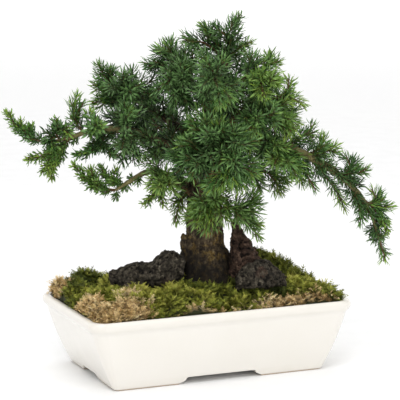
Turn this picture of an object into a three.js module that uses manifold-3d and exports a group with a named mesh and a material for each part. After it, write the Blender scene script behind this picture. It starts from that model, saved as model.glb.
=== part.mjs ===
// Japanese garden juniper grown as a bonsai in a rectangular glazed pot.
// Millimetres, +Z up. X runs along the pot, Y from its front side to its back side.

import * as THREE from "three";
import { mergeVertices } from "three/addons/utils/BufferGeometryUtils.js";
import Module from "manifold-3d";

const wasm = await Module();
wasm.setup();

// Pot
const RIM_LENGTH = 210;
const RIM_WIDTH = 122;
const RIM_CORNER = 11;
const BASE_CORNER = 7;
const BASE_INSET = 23;
const BASE_WIDTH_INSET = 14;
const FLOOR_UNDERSIDE = 5.5;
const FLOOR_TOP = 10.5;
const FOOT_WIDTH = 10;
const LONG_SIDE_ARCH = [33, 27];
const SHORT_SIDE_ARCH = [20, 14];
const DRAIN_RADIUS = 7.5;
const DRAIN_SPACING = 92;

// Outside of the pot from foot to lip: height, and how far inside the rim line along the length.
const OUTER_PROFILE = [
  [0, 22.4], [2, 20.2], [8, 17.5], [17, 13], [29, 8.8],
  [38, 6.5], [44.7, 3.3], [50.5, 0], [52.2, 0.3], [54, 2.4],
];
// Inside of the pot from lip to floor: height, inset along the length and across the width.
const INNER_PROFILE = [
  [53.5, 5, 4.6], [50, 5.6, 5.2], [40, 11, 8.6], [12.5, 22.5, 16], [FLOOR_TOP, 25, 18.5],
];

// Soil, moss and clearances
const GAP = 0.35;
const SHORTEST_EDGE = 0.02;
const SCREEN_SIZE = 21;
const SCREEN_THICKNESS = 0.8;
const SOIL_BOTTOM = FLOOR_TOP + SCREEN_THICKNESS + 0.8;
const SOIL_EDGE = 47.5;
const SOIL_CENTRE = 61;
const MOSS_EDGE = 51.5;
const MOSS_RISE = 15;
const MOSS_CELL = 15;
const MOSS_ROUGHNESS = 7.5;

// Tree
const PLANT_TURN = THREE.MathUtils.degToRad(-22.86);
const STUMP_BOTTOM = 26;
const STUMP_TOP = 62;
const STUMP_RADIUS = 15;
const STUMP_SPOT = [8, 3];

// Foliage: needle length, forward sweep in degrees, pitch of the rings of needles, core radius, and
// radius of the dense heart of each kind of shoot.
const SHOOT_KINDS = {
  dense: { needle: 8.6, sweep: 56, pitch: 7.2, core: 1.2, bush: 7.6 },
  long: { needle: 8.6, sweep: 56, pitch: 7.2, core: 1.2, bush: 5.6 },
  mid: { needle: 7.0, sweep: 50, pitch: 6.8, core: 1.2, bush: 0 },
  short: { needle: 5.4, sweep: 46, pitch: 6.8, core: 1.3, bush: 0 },
};
const GOLDEN_ANGLE = 137.5;

const COLOURS = {
  pot: [0xf1eee4, 0.22],
  soil: [0x2a211b, 0.95],
  screen: [0x23262a, 0.6],
  bark: [0x5a4938, 0.92],
  rock: [0x3a3431, 0.95],
  green_moss: [0x66802b, 0.98],
  dry_moss: [0xa8935a, 0.98],
  foliage: [0x2f6a3c, 0.75],
  tip_foliage: [0x47803c, 0.75],
};

// Small helpers: seeded draws, closed skins over rings, and solids joined or cut.

function seeded(seed) {
  let state = seed >>> 0;
  return () => {
    state = (state + 0x6d2b79f5) >>> 0;
    let t = state;
    t = Math.imul(t ^ (t >>> 15), t | 1);
    t ^= t + Math.imul(t ^ (t >>> 7), t | 61);
    return ((t ^ (t >>> 14)) >>> 0) / 4294967296;
  };
}

function vector(point) {
  return new THREE.Vector3(...point);
}

function geometryFrom(points, triangles) {
  const geometry = new THREE.BufferGeometry();
  const numbers = points.flatMap((p) => [p.x, p.y, p.z]);
  geometry.setAttribute("position", new THREE.Float32BufferAttribute(numbers, 3));
  geometry.setIndex(triangles.flat());
  return geometry;
}

// Skin over a row of rings with equal point counts, closed by a fan at each end.
function loft(rings) {
  const count = rings[0].length;
  const points = rings.flat();
  const triangles = [];
  for (let r = 0; r + 1 < rings.length; r += 1) {
    for (let i = 0; i < count; i += 1) {
      const a = r * count + i;
      const b = r * count + ((i + 1) % count);
      triangles.push([a, b, b + count], [a, b + count, a + count]);
    }
  }
  const last = (rings.length - 1) * count;
  const first = points.push(centreOf(rings[0])) - 1;
  const top = points.push(centreOf(rings[rings.length - 1])) - 1;
  for (let i = 0; i < count; i += 1) {
    const next = (i + 1) % count;
    triangles.push([first, next, i], [top, last + i, last + next]);
  }
  return geometryFrom(points, triangles);
}

function centreOf(ring) {
  return ring.reduce((sum, p) => sum.add(p), new THREE.Vector3()).divideScalar(ring.length);
}

function solidOf(geometry) {
  const bare = geometry.clone();
  bare.deleteAttribute("normal");
  bare.deleteAttribute("uv");
  const merged = mergeVertices(bare, 1e-5);
  return new wasm.Manifold(new wasm.Mesh({
    numProp: 3,
    vertProperties: new Float32Array(merged.attributes.position.array),
    triVerts: new Uint32Array(merged.index.array),
  }));
}

function geometryOf(solid) {
  const mesh = solid.getMesh();
  const geometry = new THREE.BufferGeometry();
  geometry.setAttribute("position", new THREE.BufferAttribute(new Float32Array(mesh.vertProperties), 3));
  geometry.setIndex(new THREE.BufferAttribute(new Uint32Array(mesh.triVerts), 1));
  return geometry;
}

function joined(solids) {
  return solids.reduce((whole, solid) => whole.add(solid));
}

// Groups of linked points: joins pairs, and names each point by its group.
function linkedPoints(count) {
  const parent = Array.from({ length: count }, (_, i) => i);
  const find = (i) => {
    let root = i;
    while (parent[root] !== root) root = parent[root];
    return root;
  };
  return { find, link: (a, b) => { parent[find(a)] = find(b); } };
}

function trianglesOf(geometry) {
  const index = geometry.index.array;
  const corners = (t) => [index[3 * t], index[3 * t + 1], index[3 * t + 2]];
  return Array.from({ length: index.length / 3 }, (_, t) => corners(t));
}

// Keeps the shell with the most triangles, so a trimmed sprig leaves no loose crumbs.
function largestShell(geometry) {
  const { find, link } = linkedPoints(geometry.attributes.position.count);
  const triangles = trianglesOf(geometry);
  const sizes = new Map();
  triangles.forEach(([a, b, c]) => { link(a, b); link(b, c); });
  triangles.forEach(([a]) => sizes.set(find(a), (sizes.get(find(a)) ?? 0) + 1));
  const [biggest] = [...sizes].reduce((best, entry) => (entry[1] > best[1] ? entry : best));
  geometry.setIndex(triangles.filter(([a]) => find(a) === biggest).flat());
  return geometry;
}

// Closes up the very short edges that a cut leaves, with the slivers beside them.
function tidied(geometry) {
  const welded = mergeVertices(geometry, 1e-4);
  const triangles = trianglesOf(welded);
  const { find, link } = linkedPoints(welded.attributes.position.count);
  const at = (i) => new THREE.Vector3().fromBufferAttribute(welded.attributes.position, i);
  triangles.forEach(([a, b, c]) => [[a, b], [b, c], [c, a]].forEach(([from, to]) => {
    if (at(from).distanceTo(at(to)) < SHORTEST_EDGE) link(from, to);
  }));
  const kept = triangles
    .map((corners) => corners.map(find))
    .filter(([a, b, c]) => a !== b && b !== c && c !== a);
  welded.setIndex(kept.flat());
  return geometryOf(solidOf(welded));
}

function addMesh(group, name, geometry, colour) {
  const flat = tidied(geometry).toNonIndexed();
  flat.computeVertexNormals();
  const [color, roughness] = COLOURS[colour];
  const mesh = new THREE.Mesh(flat, new THREE.MeshStandardMaterial({ color, roughness, metalness: 0 }));
  mesh.name = name;
  group.add(mesh);
}

const model = new THREE.Group();
const potGroup = new THREE.Group();
const plantGroup = new THREE.Group();
plantGroup.rotation.z = PLANT_TURN;
model.add(potGroup, plantGroup);

function turned(geometry) {
  return geometry.clone().rotateZ(PLANT_TURN);
}

// Pot: one ceramic casting, with four L-shaped feet left by an arch in each side.

function roundedRing(halfX, halfY, corner, z, steps = 3) {
  const ring = [];
  [[1, 1], [-1, 1], [-1, -1], [1, -1]].forEach(([sideX, sideY], quarter) => {
    for (let i = 0; i <= steps; i += 1) {
      const angle = (quarter + i / steps) * (Math.PI / 2);
      ring.push(new THREE.Vector3(
        sideX * (halfX - corner) + corner * Math.cos(angle),
        sideY * (halfY - corner) + corner * Math.sin(angle),
        z,
      ));
    }
  });
  return ring;
}

function potRing(z, insetX, insetY) {
  const corner = THREE.MathUtils.mapLinear(insetX, 0, BASE_INSET, RIM_CORNER, BASE_CORNER);
  return roundedRing(RIM_LENGTH / 2 - insetX, RIM_WIDTH / 2 - insetY, Math.max(corner, 4), z);
}

// Ring on the inside wall of the pot at a height, drawn in by a gap.
function insideRing(z, gap) {
  let upper = 0;
  while (INNER_PROFILE[upper + 1][0] > z) upper += 1;
  const [highZ, highX, highY] = INNER_PROFILE[upper];
  const [lowZ, lowX, lowY] = INNER_PROFILE[upper + 1];
  const t = (highZ - z) / (highZ - lowZ);
  return potRing(z, THREE.MathUtils.lerp(highX, lowX, t) + gap, THREE.MathUtils.lerp(highY, lowY, t) + gap);
}

const potShell = loft([
  ...OUTER_PROFILE.map(([z, inset]) => potRing(z, inset, (inset * BASE_WIDTH_INSET) / BASE_INSET)),
  ...INNER_PROFILE.map(([z, insetX, insetY]) => potRing(z, insetX, insetY)),
]);

function archPrism([bottomHalf, topHalf], depth) {
  const shape = new THREE.Shape([
    new THREE.Vector2(-bottomHalf - 1, -1),
    new THREE.Vector2(bottomHalf + 1, -1),
    new THREE.Vector2(topHalf, FLOOR_UNDERSIDE),
    new THREE.Vector2(-topHalf, FLOOR_UNDERSIDE),
  ]);
  const prism = new THREE.ExtrudeGeometry(shape, { depth, bevelEnabled: false });
  return prism.rotateX(Math.PI / 2).translate(0, depth / 2, 0);
}

const footRecess = loft([-1, FLOOR_UNDERSIDE].map((z) => roundedRing(
  RIM_LENGTH / 2 - BASE_INSET - FOOT_WIDTH,
  RIM_WIDTH / 2 - BASE_WIDTH_INSET - FOOT_WIDTH,
  4,
  z,
)));

function drainHole(side) {
  const hole = new THREE.CylinderGeometry(DRAIN_RADIUS, DRAIN_RADIUS, 20, 14);
  return hole.rotateX(Math.PI / 2).translate((side * DRAIN_SPACING) / 2, 0, FLOOR_UNDERSIDE);
}

const pot = [
  footRecess,
  archPrism(LONG_SIDE_ARCH, RIM_WIDTH * 2),
  archPrism(SHORT_SIDE_ARCH, RIM_LENGTH * 2).rotateZ(Math.PI / 2),
  drainHole(-1),
  drainHole(1),
].reduce((solid, cut) => solid.subtract(solidOf(cut)), solidOf(potShell));
addMesh(potGroup, "pot", geometryOf(pot), "pot");

// A plastic screen lies over each drain hole, under the soil.
function drainScreen(side) {
  const bar = 2;
  const open = (SCREEN_SIZE - 3 * bar) / 2;
  const offset = (open + bar) / 2;
  const plate = solidOf(new THREE.BoxGeometry(SCREEN_SIZE, SCREEN_SIZE, SCREEN_THICKNESS));
  const openings = [[-1, -1], [-1, 1], [1, -1], [1, 1]].map(([x, y]) => solidOf(
    new THREE.BoxGeometry(open, open, 3).translate(x * offset, y * offset, 0),
  ));
  const screen = geometryOf(openings.reduce((rest, opening) => rest.subtract(opening), plate));
  return screen.translate((side * DRAIN_SPACING) / 2, 0, FLOOR_TOP + 0.3 + SCREEN_THICKNESS / 2);
}
addMesh(potGroup, "drain_screen_left", drainScreen(-1), "screen");
addMesh(potGroup, "drain_screen_right", drainScreen(1), "screen");

// Trunk and limbs: one piece of living wood, its stump standing in a plain hole in the soil.

// Radii from root to tip, and routes in the plant's own frame, before it is turned in the pot.
const LIMB_ROUTES = {
  trunk: { radii: [17.5, 14.2, 12.6, 11.4, 10.2, 8.6, 6.4, 4.2, 2.2], sides: 9, route: [
    [8, 3, 62], [8, 3, 78], [7, 2, 97], [6, 0, 120], [6, 0, 143], [8, 0, 166], [12, 2, 192], [17, 3, 218],
    [23, 3, 236]] },
  left_long: { radii: [5.2, 1.2], route: [
    [6, 0, 149], [-13, -6, 165], [-34, -10, 176], [-56, -12, 182], [-78, -14, 179], [-99, -14, 171],
    [-111, -13, 166]] },
  left_low: { radii: [4.2, 1.3], route: [[3, -2, 130], [-15, -14, 146], [-34, -20, 153], [-47, -22, 147],
    [-60, -22, 139]] },
  left_up: { radii: [4.6, 1.4], route: [[8, 2, 166], [-16, 8, 184], [-38, 12, 198], [-57, 14, 208]] },
  right_long: { radii: [5.6, 1.1], route: [
    [9, 0, 155], [29, -8, 170], [51, -14, 175], [77, -18, 167], [103, -20, 153], [122, -20, 135],
    [133, -20, 115], [137, -20, 101]] },
  right_mid: { radii: [4.2, 1.4], route: [[14, 0, 177], [37, -10, 196], [57, -14, 207]] },
  right_low: { radii: [3.6, 1.3], route: [[9, 4, 146], [30, 14, 150], [49, 16, 148]] },
  front: { radii: [3.8, 1.4], route: [[8, -6, 159], [12, -25, 170], [19, -42, 174]] },
  front_low: { radii: [3.6, 1.4], route: [[7, -8, 137], [12, -24, 141], [19, -36, 137]] },
  back: { radii: [4.2, 1.4], route: [[9, 8, 165], [14, 30, 169], [20, 50, 172]] },
  back_left: { radii: [4.0, 1.4], route: [[8, 6, 157], [-8, 28, 169], [-26, 46, 175]] },
  back_right: { radii: [4.0, 1.4], route: [[10, 6, 161], [34, 28, 169], [56, 46, 175]] },
  top_left: { radii: [3.6, 1.3], route: [[12, 2, 192], [0, -2, 213], [-13, -4, 231]] },
  top_right: { radii: [3.4, 1.3], route: [[14, 2, 200], [33, -4, 219], [48, -6, 228]] },
  top_back: { radii: [3.4, 1.3], route: [[14, 4, 199], [18, 22, 212], [22, 38, 222]] },
  top_front: { radii: [3.4, 1.3], route: [[13, 0, 196], [14, -22, 212], [15, -38, 223]] },
};
const RING_STEP = 30;

// Rings square to a route, without twist between one ring and the next.
function ringsAlong(points, radii, sides, phases) {
  const rings = [];
  let side = null;
  points.forEach((point, i) => {
    const ahead = points[Math.min(i + 1, points.length - 1)];
    const behind = points[Math.max(i - 1, 0)];
    const forward = ahead.clone().sub(behind).normalize();
    side = side ?? (Math.abs(forward.z) > 0.8 ? new THREE.Vector3(1, 0, 0) : new THREE.Vector3(0, 0, 1));
    side = side.clone().addScaledVector(forward, -side.dot(forward)).normalize();
    const third = forward.clone().cross(side);
    const ring = [];
    for (let k = 0; k < sides; k += 1) {
      const angle = (2 * Math.PI * k) / sides + phases(i);
      const spoke = side.clone().multiplyScalar(Math.cos(angle)).addScaledVector(third, Math.sin(angle));
      ring.push(point.clone().addScaledVector(spoke, radii(i, k)));
    }
    rings.push(ring);
  });
  return rings;
}

function radiusAlong(radii, t) {
  const place = Math.min(t, 0.9999) * (radii.length - 1);
  const i = Math.floor(place);
  return THREE.MathUtils.lerp(radii[i], radii[i + 1], place - i);
}

const limbs = {};
Object.entries(LIMB_ROUTES).forEach(([name, { radii, route, sides = 5 }], order) => {
  const curve = new THREE.CatmullRomCurve3(route.map(vector), false, "centripetal");
  const steps = Math.max(3, Math.round(curve.getLength() / RING_STEP));
  const random = seeded(900 + order);
  const rough = Array.from({ length: (steps + 1) * sides }, () => 1 + (random() - 0.5) * 0.16);
  limbs[name] = { curve, radii, steps, sides, rough };
});

// Moves both ends of a row of points outwards.
function lengthened(points, growth) {
  const last = points.length - 1;
  const ends = [[0, 1], [last, last - 1]];
  ends.forEach(([end, inner]) => {
    points[end].addScaledVector(points[end].clone().sub(points[inner]).normalize(), growth);
  });
  return points;
}

function limbGeometry({ curve, radii, steps, sides, rough }, growth) {
  const points = lengthened(curve.getSpacedPoints(steps), growth);
  const size = (i, k) => radiusAlong(radii, i / steps) * rough[i * sides + k] + growth;
  return loft(ringsAlong(points, size, sides, () => 0));
}

// Stubs of old limbs: limb, place along it, direction, radius where it leaves the limb.
const SNAGS = [
  ["trunk", 0.15, [-5, -4, 4], 9], ["trunk", 0.3, [9, -9, 5], 4], ["left_low", 0.5, [-2, -4, -11], 1.4],
];

function snagGeometry([limb, place, direction, root], growth) {
  const start = limbs[limb].curve.getPointAt(place);
  const reach = vector(direction).normalize().multiplyScalar(radiusAlong(limbs[limb].radii, place));
  const end = start.clone().add(reach).add(vector(direction));
  const size = (i) => THREE.MathUtils.lerp(root, root * 0.6, i / 2) + growth;
  const points = lengthened([start, start.clone().lerp(end, 0.6), end], growth);
  return loft(ringsAlong(points, size, 5, () => 0));
}

function stump(growth, bottom) {
  const height = STUMP_TOP + 3 - bottom;
  const radius = STUMP_RADIUS + growth;
  const cylinder = new THREE.CylinderGeometry(radius, radius, height, 16).rotateX(Math.PI / 2);
  return cylinder.translate(STUMP_SPOT[0], STUMP_SPOT[1], bottom + height / 2);
}

function woodSolid(growth) {
  return joined([
    solidOf(stump(growth, STUMP_BOTTOM - growth)),
    ...Object.values(limbs).map((limb) => solidOf(limbGeometry(limb, growth))),
    ...SNAGS.map((snag) => solidOf(snagGeometry(snag, growth))),
  ]);
}

const wood = woodSolid(0);
const grownWood = woodSolid(GAP);
addMesh(plantGroup, "tree_wood", geometryOf(wood), "bark");

// Soil: a packed block that fills the pot and mounds up to the trunk.

const MOUND = [[0.85, 0.35], [0.5, 1]];

function soilSolid(lift) {
  const wallRings = [SOIL_BOTTOM, 12.5, 40, SOIL_EDGE].map((z) => insideRing(z, 0.4));
  const edge = wallRings[wallRings.length - 1];
  const moundRings = MOUND.map(([scale, rise]) => edge.map((p) => new THREE.Vector3(
    p.x * scale,
    p.y * scale,
    THREE.MathUtils.lerp(SOIL_EDGE, SOIL_CENTRE, rise),
  )));
  return solidOf(loft([...wallRings, ...moundRings]).translate(0, 0, lift));
}

const stumpHole = solidOf(turned(stump(GAP, STUMP_BOTTOM - GAP)));
addMesh(potGroup, "soil", geometryOf(soilSolid(0).subtract(stumpHole)), "soil");

// Rocks: three pieces of dark porous lava set beside the trunk.

// Each rock is a row of slices along x: x, middle y, half depth, bottom z, top z.
const ROCKS = {
  rock_left_slab: [
    [-64, -17, 6, 62, 78], [-55, -17, 9, 60, 81], [-44, -16, 12, 60, 83], [-33, -15, 13, 61, 85],
    [-24, -15, 13, 61, 90], [-15, -14, 11, 62, 91], [-9, -14, 7, 64, 86],
  ],
  rock_peak: [
    [26, -9, 5, 66, 97], [28.5, -9, 9, 66, 112], [33, -9, 10, 66, 106], [38, -10, 9, 66, 97],
    [43.5, -10, 8, 66, 89], [48, -10, 4, 67, 79],
  ],
  rock_right_slab: [
    [31, -25, 5, 65, 76], [38, -23, 9, 64, 82], [46, -18, 11, 64, 87], [54, -13, 12, 63, 83],
    [61, -10, 10, 63, 77], [67, -9, 5, 64, 72],
  ],
};
const ROCK_SIDES = 10;

function rockSolid(name, growth) {
  const random = seeded(name.length * 77);
  const slices = ROCKS[name];
  const rings = slices.map(([x, y, halfDepth, bottom, top], i) => {
    const ring = [];
    for (let k = 0; k < ROCK_SIDES; k += 1) {
      const angle = (2 * Math.PI * k) / ROCK_SIDES;
      const bump = 1 + (random() - 0.5) * 0.42;
      const shift = (random() - 0.5) * 4;
      const end = i === 0 ? -growth : i === slices.length - 1 ? growth : 0;
      ring.push(new THREE.Vector3(
        x + shift + end,
        y + Math.cos(angle) * (halfDepth * bump + growth),
        (bottom + top) / 2 + Math.sin(angle) * (((top - bottom) / 2) * bump + growth),
      ));
    }
    return ring;
  });
  return solidOf(loft(rings));
}

const soilUnderRocks = solidOf(geometryOf(soilSolid(GAP)).rotateZ(-PLANT_TURN));
let rockCut = null;
Object.keys(ROCKS).forEach((name) => {
  const rough = rockSolid(name, 0).subtract(grownWood).subtract(soilUnderRocks);
  const shape = rockCut ? rough.subtract(rockCut) : rough;
  addMesh(plantGroup, name, largestShell(geometryOf(shape)), "rock");
  const grown = rockSolid(name, GAP);
  rockCut = rockCut ? rockCut.add(grown) : grown;
});

// Moss: a bumpy mat over the soil, green, with three patches of dried moss.

const mossRandom = seeded(41);
const TUFTS = [
  [52, 22, 8], [70, 28, 8], [80, 14, 6], [86, -8, 5], [90, -32, 4], [20, -36, 4], [-20, -34, 4],
  [-62, 22, 5], [-46, 44, 7], [-64, 46, 8], [-82, 42, 6], [-92, 18, 5],
];

function mossHeight(x, y) {
  const along = Math.min(1, Math.abs(x) / 101);
  const across = Math.min(1, Math.abs(y) / 57);
  const mound = MOSS_EDGE + MOSS_RISE * (1 - along ** 8) * (1 - across ** 5);
  const share = ([tx, ty, height]) => height * Math.exp(-((x - tx) ** 2 + (y - ty) ** 2) / 60);
  const tuft = TUFTS.reduce((sum, spot) => sum + share(spot), 0);
  return mound + tuft * Math.min(1, 4 * (1 - Math.max(along, across)));
}

function mossSheet() {
  const columns = Math.ceil(RIM_LENGTH / MOSS_CELL);
  const rows = Math.ceil(RIM_WIDTH / MOSS_CELL);
  const top = [];
  for (let r = 0; r <= rows; r += 1) {
    for (let c = 0; c <= columns; c += 1) {
      const inner = r > 0 && c > 0 && r < rows && c < columns;
      const jitter = inner ? 0.55 * MOSS_CELL : 0;
      const x = (c / columns - 0.5) * RIM_LENGTH + (mossRandom() - 0.5) * jitter;
      const y = (r / rows - 0.5) * RIM_WIDTH + (mossRandom() - 0.5) * jitter;
      top.push(new THREE.Vector3(x, y, mossHeight(x, y) + (mossRandom() - 0.45) * MOSS_ROUGHNESS));
    }
  }
  const wide = columns + 1;
  const triangles = [];
  for (let r = 0; r < rows; r += 1) {
    for (let c = 0; c < columns; c += 1) {
      const a = r * wide + c;
      const [b, d, e] = [a + 1, a + wide, a + wide + 1];
      triangles.push(...((r + c) % 2 ? [[a, b, e], [a, e, d]] : [[a, b, d], [b, e, d]]));
    }
  }
  const border = [];
  for (let c = 0; c < columns; c += 1) border.push(c);
  for (let r = 0; r < rows; r += 1) border.push(r * wide + columns);
  for (let c = columns; c > 0; c -= 1) border.push(rows * wide + c);
  for (let r = rows; r > 0; r -= 1) border.push(r * wide);
  const points = [...top];
  const lower = border.map((i) => points.push(new THREE.Vector3(top[i].x, top[i].y, 30)) - 1);
  const middle = points.push(new THREE.Vector3(0, 0, 30)) - 1;
  border.forEach((upper, i) => {
    const next = (i + 1) % border.length;
    triangles.push([border[next], upper, lower[i]], [border[next], lower[i], lower[next]]);
    triangles.push([middle, lower[next], lower[i]]);
  });
  return solidOf(geometryFrom(points, triangles));
}

// Outline of a dried patch, in the pot's frame, anticlockwise.
const DRY_PATCHES = {
  moss_dry_front_left: [
    [-99, -48], [-80, -54], [-52, -54], [-46, -40], [-60, -26], [-72, -8], [-88, 4], [-99, 2],
  ],
  moss_dry_back_left: [[-99, 22], [-86, 18], [-74, 28], [-70, 44], [-74, 55], [-99, 55]],
  moss_dry_front_right: [[44, -34], [58, -50], [82, -54], [99, -44], [99, -12], [80, -8], [60, -16]],
};

function patchPrism(outline, margin) {
  const corners = outline.map(([x, y]) => new THREE.Vector2(x, y));
  const total = corners.reduce((sum, corner) => sum.add(corner), new THREE.Vector2());
  const centre = total.divideScalar(corners.length);
  const shape = new THREE.Shape(corners.map((corner) => {
    const away = corner.clone().sub(centre);
    return away.setLength(away.length() + margin).add(centre);
  }));
  const prism = new THREE.ExtrudeGeometry(shape, { depth: 60, bevelEnabled: false });
  return solidOf(prism.translate(0, 0, 35));
}

const MOSS_MARGIN = 0.45;
const potHollow = solidOf(loft([
  insideRing(SOIL_EDGE + GAP, MOSS_MARGIN),
  insideRing(50, MOSS_MARGIN),
  potRing(95, 5.6 + MOSS_MARGIN, 5.2 + MOSS_MARGIN),
]));
const mossMat = mossSheet()
  .intersect(potHollow)
  .subtract(soilSolid(GAP))
  .subtract(solidOf(turned(geometryOf(rockCut))))
  .subtract(solidOf(turned(geometryOf(grownWood))));
let greenMoss = mossMat;
Object.entries(DRY_PATCHES).forEach(([name, outline]) => {
  greenMoss = greenMoss.subtract(patchPrism(outline, 0.25));
  const patch = mossMat.intersect(patchPrism(outline, -0.25));
  addMesh(potGroup, name, largestShell(geometryOf(patch)), "dry_moss");
});
addMesh(potGroup, "moss_green", largestShell(geometryOf(greenMoss)), "green_moss");

// Foliage: shoots ringed with needles, the thicker ones round a dense heart of shorter growth.

// Name, limb, place along it, tip, kind of shoot, number of side sprigs. A row whose name starts
// with + is a further shoot of the spray above it.
const SHOOTS = [
  ["left_tip", "left_long", 1.0, [-142, -18, 200], "short", 5],
  ["left_low", "left_long", 0.85, [-106, -12, 142], "short", 4],
  ["+", "left_long", 0.9, [-125, -22, 159], "short", 4],
  ["left_mid_up", "left_long", 0.92, [-103, -6, 191], "short", 3],
  ["left_tall", "left_long", 0.77, [-88, -10, 214], "mid", 4],
  ["left_rosette", "left_long", 0.67, [-69, -42, 192], "long", 3],
  ["left_inner", "left_long", 0.49, [-49, -30, 203], "dense", 2],
  ["+", "left_long", 0.49, [-43, -16, 155], "dense", 2],
  ["left_under", "left_long", 0.65, [-57, -20, 161], "short", 4],
  ["left_up", "left_up", 1.0, [-76, 10, 233], "mid", 4],
  ["+", "left_up", 1.0, [-62, 18, 229], "mid", 3],
  ["left_up_in", "left_up", 0.86, [-53, 2, 228], "mid", 3],
  ["+", "left_up", 0.86, [-46, -25, 212], "dense", 2],
  ["left_up_back", "left_up", 0.79, [-64, 34, 196], "mid", 3],
  ["crown_left", "top_left", 1.0, [-25, -8, 257], "long", 3],
  ["crown_far_left", "top_left", 0.72, [-34, 6, 245], "long", 3],
  ["+", "top_left", 0.77, [-46, -2, 231], "long", 4],
  ["crown_left_front", "top_left", 0.62, [-24, -38, 220], "dense", 2],
  ["top_left_sprig", "trunk", 0.95, [2, 2, 264], "long", 4],
  ["apex", "trunk", 1.0, [33, 4, 272], "long", 4],
  ["+", "trunk", 1.0, [17, -6, 264], "long", 3],
  ["top_right_sprig", "trunk", 0.97, [47, -4, 251], "long", 3],
  ["top_front", "top_front", 1.0, [6, -52, 242], "dense", 2],
  ["+", "top_front", 1.0, [21, -56, 205], "dense", 2],
  ["top_back", "top_back", 1.0, [29, 58, 237], "dense", 2],
  ["right_top", "top_right", 1.0, [68, -8, 237], "dense", 2],
  ["+", "top_right", 1.0, [57, 4, 243], "long", 3],
  ["right_top_front", "top_right", 0.7, [50, -44, 211], "dense", 2],
  ["right_crown", "right_mid", 1.0, [84, -16, 208], "long", 4],
  ["+", "right_mid", 1.0, [73, -10, 227], "long", 4],
  ["right_crown_low", "right_mid", 0.74, [76, -38, 186], "dense", 2],
  ["right_crown_front", "right_mid", 0.57, [38, -50, 185], "dense", 2],
  ["right_up_a", "right_long", 0.37, [91, -10, 190], "long", 4],
  ["right_up_b", "right_long", 0.47, [108, -20, 174], "long", 4],
  ["right_up_c", "right_long", 0.64, [131, -26, 157], "mid", 3],
  ["+", "right_long", 0.64, [119, -16, 168], "mid", 3],
  ["right_out", "right_long", 0.81, [150, -20, 126], "mid", 4],
  ["+", "right_long", 0.81, [147, -24, 109], "mid", 3],
  ["right_end", "right_long", 1.0, [143, -20, 84], "mid", 2],
  ["right_hang", "right_long", 0.9, [131, -12, 93], "mid", 3],
  ["right_drop_b", "right_long", 0.73, [126, -27, 106], "mid", 4],
  ["right_drop_a", "right_long", 0.59, [115, -13, 119], "mid", 4],
  ["right_under", "right_long", 0.42, [92, -22, 136], "mid", 4],
  ["right_under_front", "right_long", 0.29, [59, -46, 160], "long", 4],
  ["right_low", "right_low", 1.0, [75, 18, 137], "mid", 4],
  ["+", "right_low", 1.0, [65, 6, 128], "mid", 3],
  ["right_low_in", "right_low", 0.64, [53, -6, 131], "mid", 3],
  ["low_right", "front_low", 1.0, [45, -30, 101], "long", 5],
  ["low_front", "front_low", 0.63, [5, -42, 114], "long", 4],
  ["+", "front_low", 0.63, [24, -46, 118], "long", 3],
  ["front_hang", "front", 1.0, [29, -64, 148], "long", 5],
  ["+", "front", 1.0, [49, -60, 155], "long", 5],
  ["front_left", "front", 0.63, [-8, -52, 153], "dense", 2],
  ["+", "front", 0.63, [-13, -46, 182], "dense", 2],
  ["front_up", "front", 0.81, [13, -58, 197], "dense", 2],
  ["+", "front", 0.81, [46, -60, 178], "long", 4],
  ["low_left_tip", "left_low", 1.0, [-92, -26, 162], "short", 5],
  ["+", "left_low", 1.0, [-77, -32, 142], "short", 3],
  ["low_left_mid", "left_low", 0.9, [-73, -14, 158], "short", 3],
  ["low_left_hang", "left_low", 0.52, [-26, -24, 126], "mid", 4],
  ["+", "left_low", 0.52, [-43, -20, 126], "mid", 3],
  ["low_trunk", "trunk", 0.43, [-19, -8, 112], "mid", 4],
  ["low_left_front", "left_low", 0.43, [-17, -46, 139], "dense", 2],
  ["back_top", "back", 1.0, [25, 80, 187], "dense", 2],
  ["+", "back", 1.0, [13, 70, 141], "long", 4],
  ["back_left", "back_left", 1.0, [-45, 72, 182], "dense", 2],
  ["+", "back_left", 1.0, [-22, 64, 147], "long", 4],
  ["back_right", "back_right", 1.0, [75, 68, 182], "dense", 2],
  ["+", "back_right", 1.0, [52, 62, 147], "long", 4],
];
// Share of the side sprigs that the solids carry, and where a further shoot leaves the first one.
const SIDE_SHARE = 0.36;
const FORK_PLACE = 0.24;

// Distance between two segments, for keeping cores and needles of neighbouring sprays apart.
function segmentDistance(a, b, c, d) {
  const u = b.clone().sub(a);
  const v = d.clone().sub(c);
  const w = a.clone().sub(c);
  const [uu, uv, vv, uw, vw] = [u.dot(u), u.dot(v), v.dot(v), u.dot(w), v.dot(w)];
  const clamp = (value) => Math.min(1, Math.max(0, value));
  const det = uu * vv - uv * uv;
  let s = det > 1e-9 ? clamp((uv * vw - vv * uw) / det) : 0;
  const t = clamp((uv * s + vw) / vv);
  if (uu > 1e-9) s = clamp((uv * t - uw) / uu);
  return a.clone().addScaledVector(u, s).distanceTo(c.clone().addScaledVector(v, t));
}

const placed = [];

function place(owner, start, end, radius, sprig = "") {
  const box = new THREE.Box3().setFromPoints([start, end]).expandByScalar(radius);
  placed.push({ owner, sprig, start, end, radius, box });
}

function placeAll(owner, points, radius, sprig) {
  for (let i = 0; i + 1 < points.length; i += 1) place(owner, points[i], points[i + 1], radius, sprig);
}

function isClear(owners, start, end, radius, sprig = "none") {
  const box = new THREE.Box3().setFromPoints([start, end]).expandByScalar(radius + GAP);
  return placed.every((item) => owners.includes(item.owner)
    || item.sprig === sprig
    || !item.box.intersectsBox(box)
    || segmentDistance(start, end, item.start, item.end) > item.radius + radius + GAP);
}

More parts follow.
